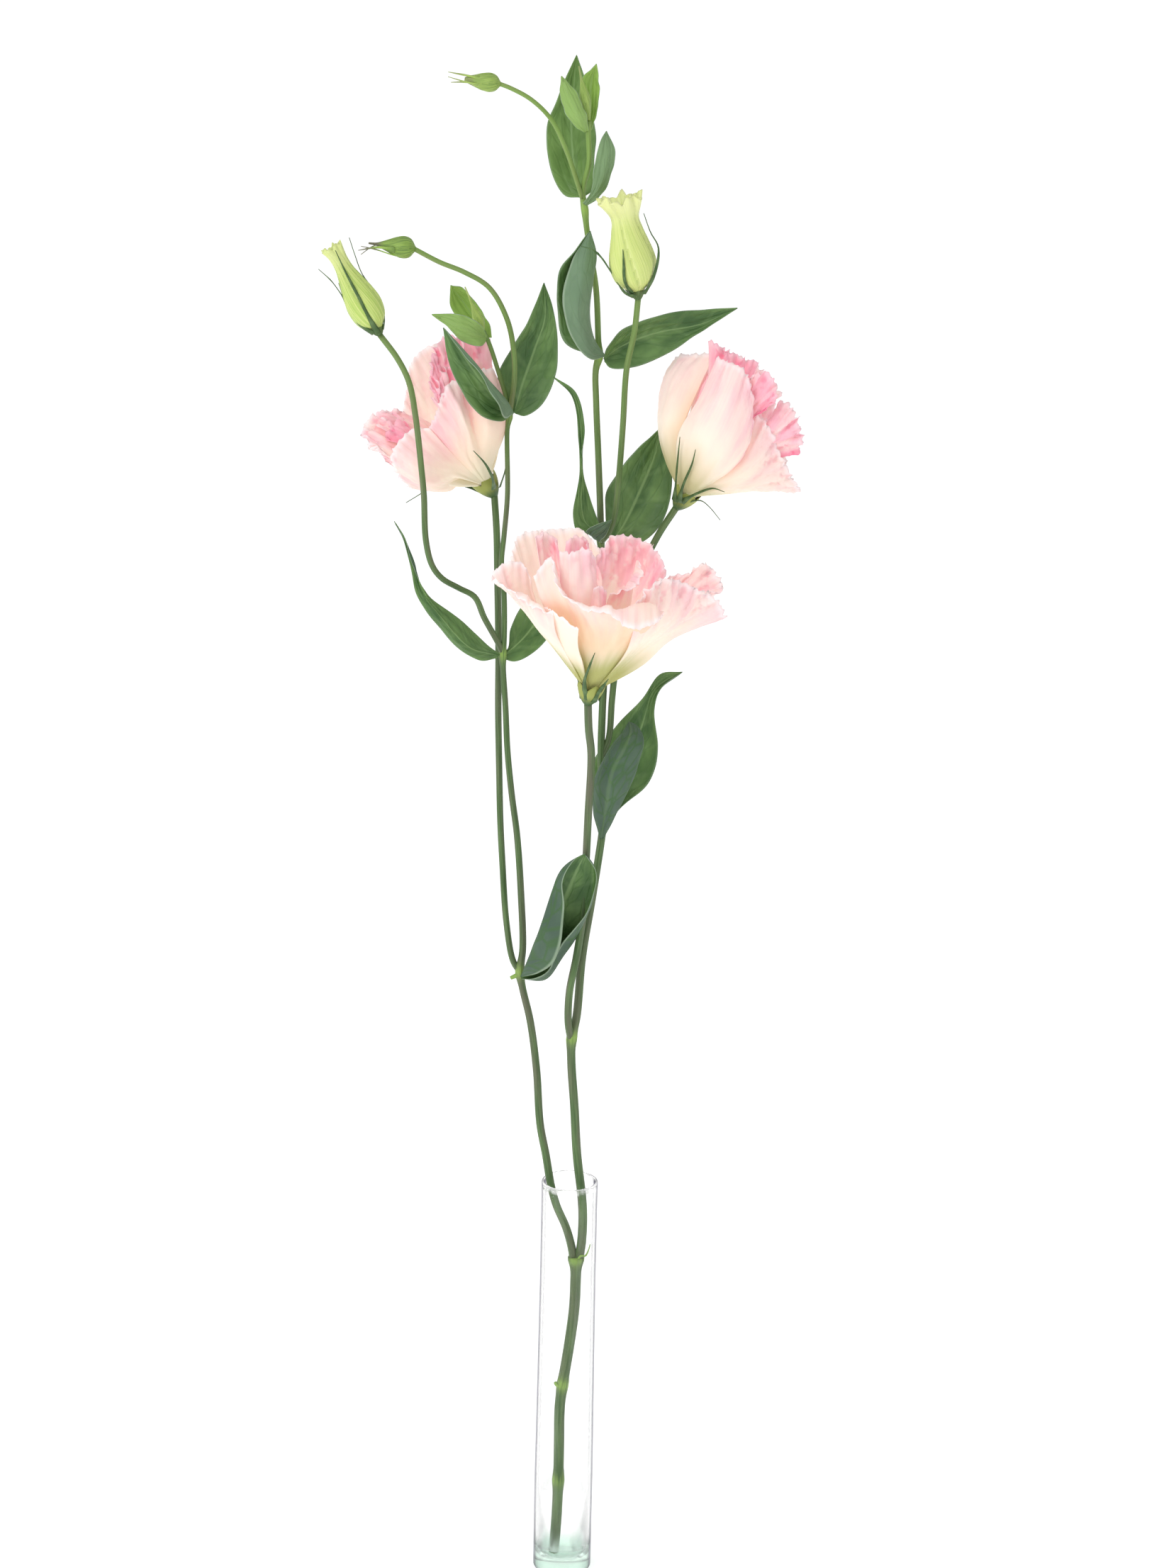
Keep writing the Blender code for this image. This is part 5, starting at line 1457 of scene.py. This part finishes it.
class LISIANTHUS_OT_buds(bpy.types.Operator):
    """Builds the closed buds"""
    bl_idname = "lisianthus.buds"
    bl_label = "Buds"

    def execute(self, context):
        finish = bud_finish(chosen_colours(context))
        for bud in BUDS:
            make_bud(bud, finish)
        return {"FINISHED"}


class LISIANTHUS_OT_vase(bpy.types.Operator):
    """Builds the glass tube and the water in it"""
    bl_idname = "lisianthus.vase"
    bl_label = "Vase and water"

    def execute(self, context):
        tint = chosen_colours(context).glass_tint
        make_vase(chosen_sizes(context), glass_finish(tint))
        make_water(chosen_sizes(context), water_finish())
        return {"FINISHED"}


class LISIANTHUS_OT_stage(bpy.types.Operator):
    """Builds the floor, the lights and the camera"""
    bl_idname = "lisianthus.stage"
    bl_label = "Stage"

    def execute(self, context):
        stage = context.scene.lisianthus_stage
        make_floor(stage)
        make_lights(stage)
        make_camera()
        return {"FINISHED"}


FLOOR_CORNERS = [(-12, -6, 0), (12, -6, 0), (12, 18, 0), (-12, 18, 0)]  # m
FLOOR_LIGHT = (0.95, 0.95, 0.95)  # its lighter patches


def make_floor(stage):
    """A pale floor that reaches past the view on every side."""
    mesh = bpy.data.meshes.new("floor")
    mesh.from_pydata(FLOOR_CORNERS, [], [(0, 1, 2, 3)])
    f = Finish("floor_paint", Roughness=0.9, Emission_Color=(1, 1, 1, 1), Emission_Strength=0.4)
    cloud = f.noise(f.body_place(), 2.0, 2.0)
    f.feed("Base Color", f.mix(f.ramp(cloud, 0.2, 0.8) * 0.5, stage.floor, FLOOR_LIGHT))
    mesh.materials.append(f.material)
    floor = bpy.data.objects.new("floor", mesh)
    bpy.context.scene.collection.objects.link(floor)


LAMP_PLACE, LAMP_AIM, LAMP_SIZE = (-0.9, -1.1, 1.5), (0, 0, 0.35), 0.9  # m


def make_lights(stage):
    """Even white light all round, and one large soft lamp from the upper left in front."""
    world = bpy.data.worlds.new("studio")
    bpy.context.scene.world = world
    world.use_nodes = True
    background = world.node_tree.nodes["Background"]
    background.inputs["Color"].default_value = (1, 1, 1, 1)
    background.inputs["Strength"].default_value = stage.sky
    lamp = bpy.data.lights.new("key_lamp", "AREA")
    lamp.energy, lamp.size = stage.key, LAMP_SIZE
    key = bpy.data.objects.new("key_lamp", lamp)
    key.location = LAMP_PLACE
    key.rotation_euler = (Vector(LAMP_AIM) - key.location).to_track_quat("-Z", "Y").to_euler()
    bpy.context.scene.collection.objects.link(key)


CAMERA_PLACE = (3.57, -1376.08, 715.29)  # mm
CAMERA_PITCH, CAMERA_ROLL = 16.2, 1.26  # degrees down, and anticlockwise
CAMERA_LENS, CAMERA_SENSOR = 90.0, 36.0  # mm


def make_camera():
    """A long lens a little above the flowers, looking down at the vase."""
    data = bpy.data.cameras.new("camera")
    data.lens, data.sensor_width, data.sensor_fit = CAMERA_LENS, CAMERA_SENSOR, "AUTO"
    data.clip_start, data.clip_end = 0.05, 60.0
    camera = bpy.data.objects.new("camera", data)
    pitch, roll = math.radians(CAMERA_PITCH), math.radians(CAMERA_ROLL)
    forward = Vector((0, math.cos(pitch), -math.sin(pitch)))
    right = Vector((math.cos(roll), math.sin(roll) * math.sin(pitch), math.sin(roll) * math.cos(pitch)))
    up = Vector((-math.sin(roll), math.cos(roll) * math.sin(pitch), math.cos(roll) * math.cos(pitch)))
    turn = Matrix((right, up, -forward)).transposed().to_4x4()
    camera.matrix_world = Matrix.Translation(Vector(CAMERA_PLACE) * MM) @ turn
    bpy.context.scene.collection.objects.link(camera)
    bpy.context.scene.camera = camera
    bpy.context.scene.view_settings.view_transform = "Standard"


class LISIANTHUS_PT_panel(bpy.types.Panel):
    """Sizes, colours and the builders of every piece"""
    bl_idname = "LISIANTHUS_PT_panel"
    bl_label = "Lisianthus"
    bl_space_type = "VIEW_3D"
    bl_region_type = "UI"
    bl_category = "Lisianthus"

    def draw(self, context):
        for group in (chosen_sizes(context), chosen_colours(context), context.scene.lisianthus_stage):
            box = self.layout.box()
            for name in group.bl_rna.properties.keys():
                if name not in ("rna_type", "name"):
                    box.prop(group, name)
        for operator in OPERATORS:
            self.layout.operator(operator.bl_idname)


GROUPS = {"lisianthus_sizes": LISIANTHUS_PG_sizes, "lisianthus_colours": LISIANTHUS_PG_colours,
          "lisianthus_stage": LISIANTHUS_PG_stage}
OPERATORS = (LISIANTHUS_OT_stems, LISIANTHUS_OT_leaves, LISIANTHUS_OT_centre_flower,
             LISIANTHUS_OT_left_flower, LISIANTHUS_OT_right_flower, LISIANTHUS_OT_calyxes,
             LISIANTHUS_OT_buds, LISIANTHUS_OT_vase, LISIANTHUS_OT_stage)


def register():
    """Adds the settings, the operators and the panel."""
    for name, group in GROUPS.items():
        bpy.utils.register_class(group)
        setattr(bpy.types.Scene, name, PointerProperty(type=group))
    for operator in OPERATORS:
        bpy.utils.register_class(operator)
    bpy.utils.register_class(LISIANTHUS_PT_panel)


def unregister():
    """Takes away what register added."""
    bpy.utils.unregister_class(LISIANTHUS_PT_panel)
    for operator in reversed(OPERATORS):
        bpy.utils.unregister_class(operator)
    for name, group in reversed(GROUPS.items()):
        delattr(bpy.types.Scene, name)
        bpy.utils.unregister_class(group)


def main():
    """Builds every piece and the stage, in order."""
    register()
    bpy.ops.lisianthus.stems()
    bpy.ops.lisianthus.leaves()
    bpy.ops.lisianthus.centre_flower()
    bpy.ops.lisianthus.left_flower()
    bpy.ops.lisianthus.right_flower()
    bpy.ops.lisianthus.calyxes()
    bpy.ops.lisianthus.buds()
    bpy.ops.lisianthus.vase()
    bpy.ops.lisianthus.stage()


if __name__ == "__main__":
    main()
